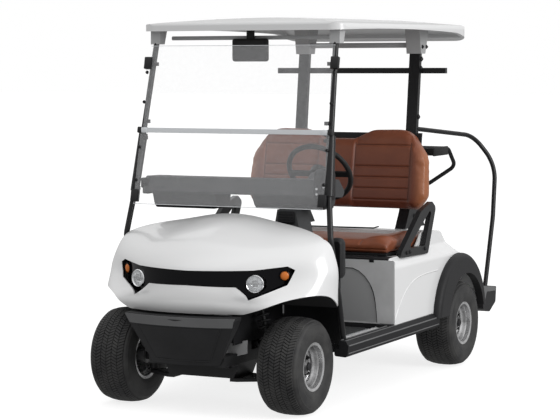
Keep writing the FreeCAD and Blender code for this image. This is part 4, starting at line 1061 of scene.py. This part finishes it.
height_graded("pod_dark", (0.33, 0.332, 0.335), (0.37, 0.372, 0.375), 0.33, 0.60)
half = ARCH + [(-x, z) for x, z in reversed(ARCH)]
bm = bmesh.new()
plate(bm, [(x * 0.995, POD_FRONT + 0.0026, z - 0.002) for x, z in half], (0, 0.002, 0))
piece("pod_panel", bm, "pod_dark")
bm = bmesh.new()
line(bm, [(x, POD_FRONT + 0.0012, z) for x, z in half], 0.0021)
blocks(bm, [((0.4615, 0.4875), (POD_FRONT - 0.002, POD_FRONT + 0.004), (0.634, 0.650), 0.002)])
piece("pod_lines", bm, "sill_black")
bm = bmesh.new()
for side in SIDES:
    path = [(side * 0.5985, *crease(step / CREASE_STEPS)) for step in range(CREASE_STEPS + 1)]
    line(bm, path, 0.0045, 12)
    line(bm, [(side * 0.5972, POD_FRONT + 0.004, z) for z in (0.336, 0.44, 0.54, 0.640)], 0.0042, 12)
piece("flank_creases", bm, "body_white")
print("pod panel, latch and flank creases")

# %% [markdown]
# ## Front bumper
# The bumper's top is a lighter lip that follows its bulge. Below it sits the trapezoid panel, flush, inside a
# raised round bead. One formula says where the bumper's front is; the bead's points and the flat grids of lip
# and panel take their depth from it.

# %% Front bumper
BUMPER_Z = (0.245, 0.440)
PANEL_DEPTH = 0.006
BEAD_STEPS = 6
BEAD_SINK = 0.001


def bumper_front(x, z):
    """Where the bumper's outer face is at a place."""
    share = (z - BUMPER_Z[0]) / (BUMPER_Z[1] - BUMPER_Z[0])
    half = 0.178 + 0.100 * share
    return -1.240 - 0.052 * share + 0.046 * (abs(x) / half) ** 2.4


def bumper_bead(low, high, half_low, half_high, radius):
    corners = [(-half_low, low), (half_low, low), (half_high, high), (-half_high, high)]
    path = []
    for (x0, z0), (x1, z1) in zip(corners, corners[1:] + corners[:1]):
        for step in range(BEAD_STEPS):
            x = x0 + (x1 - x0) * step / BEAD_STEPS
            z = z0 + (z1 - z0) * step / BEAD_STEPS
            path.append(Vector((x, bumper_front(x, z) + BEAD_SINK, z)))
    bm = bmesh.new()
    line(bm, path, radius, 10, ring=True)
    piece("bumper_bead", bm, "trim_dark")


def bent_panel(name, low, high, half_low, half_high, out, finish):
    bm = bmesh.new()
    bmesh.ops.create_grid(bm, x_segments=24, y_segments=5, size=0.5)
    for vert in bm.verts:
        up = vert.co.y + 0.5
        z = low + (high - low) * up
        x = vert.co.x * 2 * (half_low + (half_high - half_low) * up)
        vert.co = Vector((x, bumper_front(x, z) - out, z))
    thicken(bm, bm.faces[:], (0, PANEL_DEPTH, 0))
    piece(name, bm, finish)


grained("lip_grey", (0.12, 0.121, 0.123), 0.5, 300, 0.2, 1.2)
bumper_bead(0.268, 0.428, 0.142, 0.218, 0.0035)
bent_panel("bumper_lip", 0.430, 0.474, 0.270, 0.288, 0.0015, "lip_grey")
bent_panel("bumper_panel", 0.272, 0.424, 0.144, 0.216, 0.0012, "trim_dark")
print("bumper bead, lip and panel")

# %% [markdown]
# ## Fittings behind the bumper
# A grey shield covers the steering rack's end between bumper and wheel. Below it hang the lower arm's bushes,
# each a ring with a bright bolt. They stay clear of the wheel at full lock.

# %% Shield and bushes
grained("shield_grey", (0.40, 0.402, 0.405), 0.5, 200, 0.3, 1.4)
shields = bmesh.new()
bushes = bmesh.new()
for side in SIDES:
    plate(shields, [(side * x, -1.062, z) for x, z in ((0.100, 0.246), (0.250, 0.288), (0.250, 0.350),
                                                      (0.122, 0.322))], (0, 0.010, 0))
    for x, z in ((0.105, 0.232), (0.150, 0.226), (0.185, 0.236)):
        post(bushes, (side * x, -1.075, z), (side * x, -1.045, z), 0.014, segments=20)
        post(bushes, (side * x, -1.080, z), (side * x, -1.075, z), 0.007, segments=6)
piece("rack_shields", shields, "shield_grey")
piece("arm_bushes", bushes, "spring_steel")
print("shields and bushes behind the bumper")

# %% [markdown]
# ## Instrument pod, knee shields and straps
# The instrument pod rises beside the driver's strut, rounded and nearly black. Where each strut meets the
# cowl a dark rounded shield guards the knee. A flat strap joins the rear posts to the bag bar, and a thin
# moulded trim line edges the deck behind the seat.

# %% Pod, shields and straps
dark = bmesh.new()
block(dark, (0.436, -0.752, 0.975), (0.520, -0.640, 1.132), 0.030, segments=4)
piece("instrument_pod", dark, "dash_dark")
shields = bmesh.new()
for middle in (0.512, -0.512):
    block(shields, (middle - 0.036, -0.665, 0.605), (middle + 0.036, -0.592, 0.800), 0.028, segments=4)
piece("knee_shields", shields, "trim_dark")
block_piece("bag_straps", [((0.436, 0.452), (0.752, 0.952), (1.118, 1.166), 0.006),
                           ((0.340, 0.450), (0.745, 0.762), (1.122, 1.162), 0.005)],
            "wheel_grip")
trim = bmesh.new()
edge = [(-0.24, 0.412), (0.05, 0.414), (0.235, 0.430), (0.222, 0.520)]
line(trim, [(x, y, 0.7515) for x, y in edge], 0.0042)
piece("deck_trim", trim, "wheel_grip")
ends = bmesh.new()
for side in SIDES:
    plate(ends, [(side * 0.6004, y, z) for y, z in ((1.102, 0.390), (1.298, 0.3645), (1.294, 0.344),
                                               (1.150, 0.352), (1.118, 0.298))],
          (side * 0.0012, 0, 0))
piece("rear_step_ends", ends, "step_grey")
print("instrument pod, knee shields, straps, deck trim and rear step ends")

# %% [markdown]
# ## Floor and light
# The photograph is a studio cut-out: plain white behind, light from above and from the driver's side, and
# little light from below, which keeps the black parts black. The camera sees a white world and a white floor
# with a faint contact shadow. The cart itself is lit by a sky that fades from bright overhead to dim below,
# and by two large soft boxes. The floor sends no light up, or it would wash out everything underneath.

# %% Floor and light
SKY_BELOW = 0.42
SKY_ABOVE = 0.92


def soft_box(name, place, target, size, watts):
    lamp = bpy.data.lights.new(name, "AREA")
    lamp.shape = "DISK"
    lamp.size = size
    lamp.energy = watts
    holder = bpy.data.objects.new(name, lamp)
    bpy.context.scene.collection.objects.link(holder)
    holder.location = place
    holder.rotation_euler = (Vector(target) - Vector(place)).to_track_quat("-Z", "Y").to_euler()


bm = bmesh.new()
bmesh.ops.create_grid(bm, x_segments=1, y_segments=1, size=60)
floor = as_object("floor", bm)
ground = Finish("floor_pale", (0.35, 0.35, 0.35), specular_ior_level=0.0, emission_strength=0.80,
                emission_color=(1, 1, 1, 1))
ground.set(roughness=ground.noise(3) * 0.1 + 0.75)
paint(floor, "floor_pale")
floor.visible_diffuse = False
floor.visible_glossy = False
soft_box("light_above", (-1.5, -3.5, 6.5), (0, -0.2, 0.6), 5, 30)
soft_box("light_driver_side", (7, -1.0, 3.2), (0, 0.2, 0.6), 4, 280)
world = bpy.data.worlds.new("studio")
bpy.context.scene.world = world
world.use_nodes = True
graph = Graph(world.node_tree)
place = graph.node("ShaderNodeTexCoord", output="Generated")
height = graph.node("ShaderNodeSeparateXYZ", None, {0: place}, "Z")
fade = graph.node("ShaderNodeMapRange", {"interpolation_type": "SMOOTHSTEP"},
                  {"Value": height, "From Min": -0.25, "From Max": 0.65, "To Min": SKY_BELOW,
                   "To Max": SKY_ABOVE})
seen = graph.node("ShaderNodeLightPath", output="Is Camera Ray")
sky = graph.nodes["Background"].inputs
graph.feed(sky["Color"], (1, 1, 1, 1))
graph.feed(sky["Strength"], fade.sum("MAXIMUM", seen))
bpy.context.scene.view_settings.view_transform = "Standard"
print("floor, two soft boxes and the white room are in place")
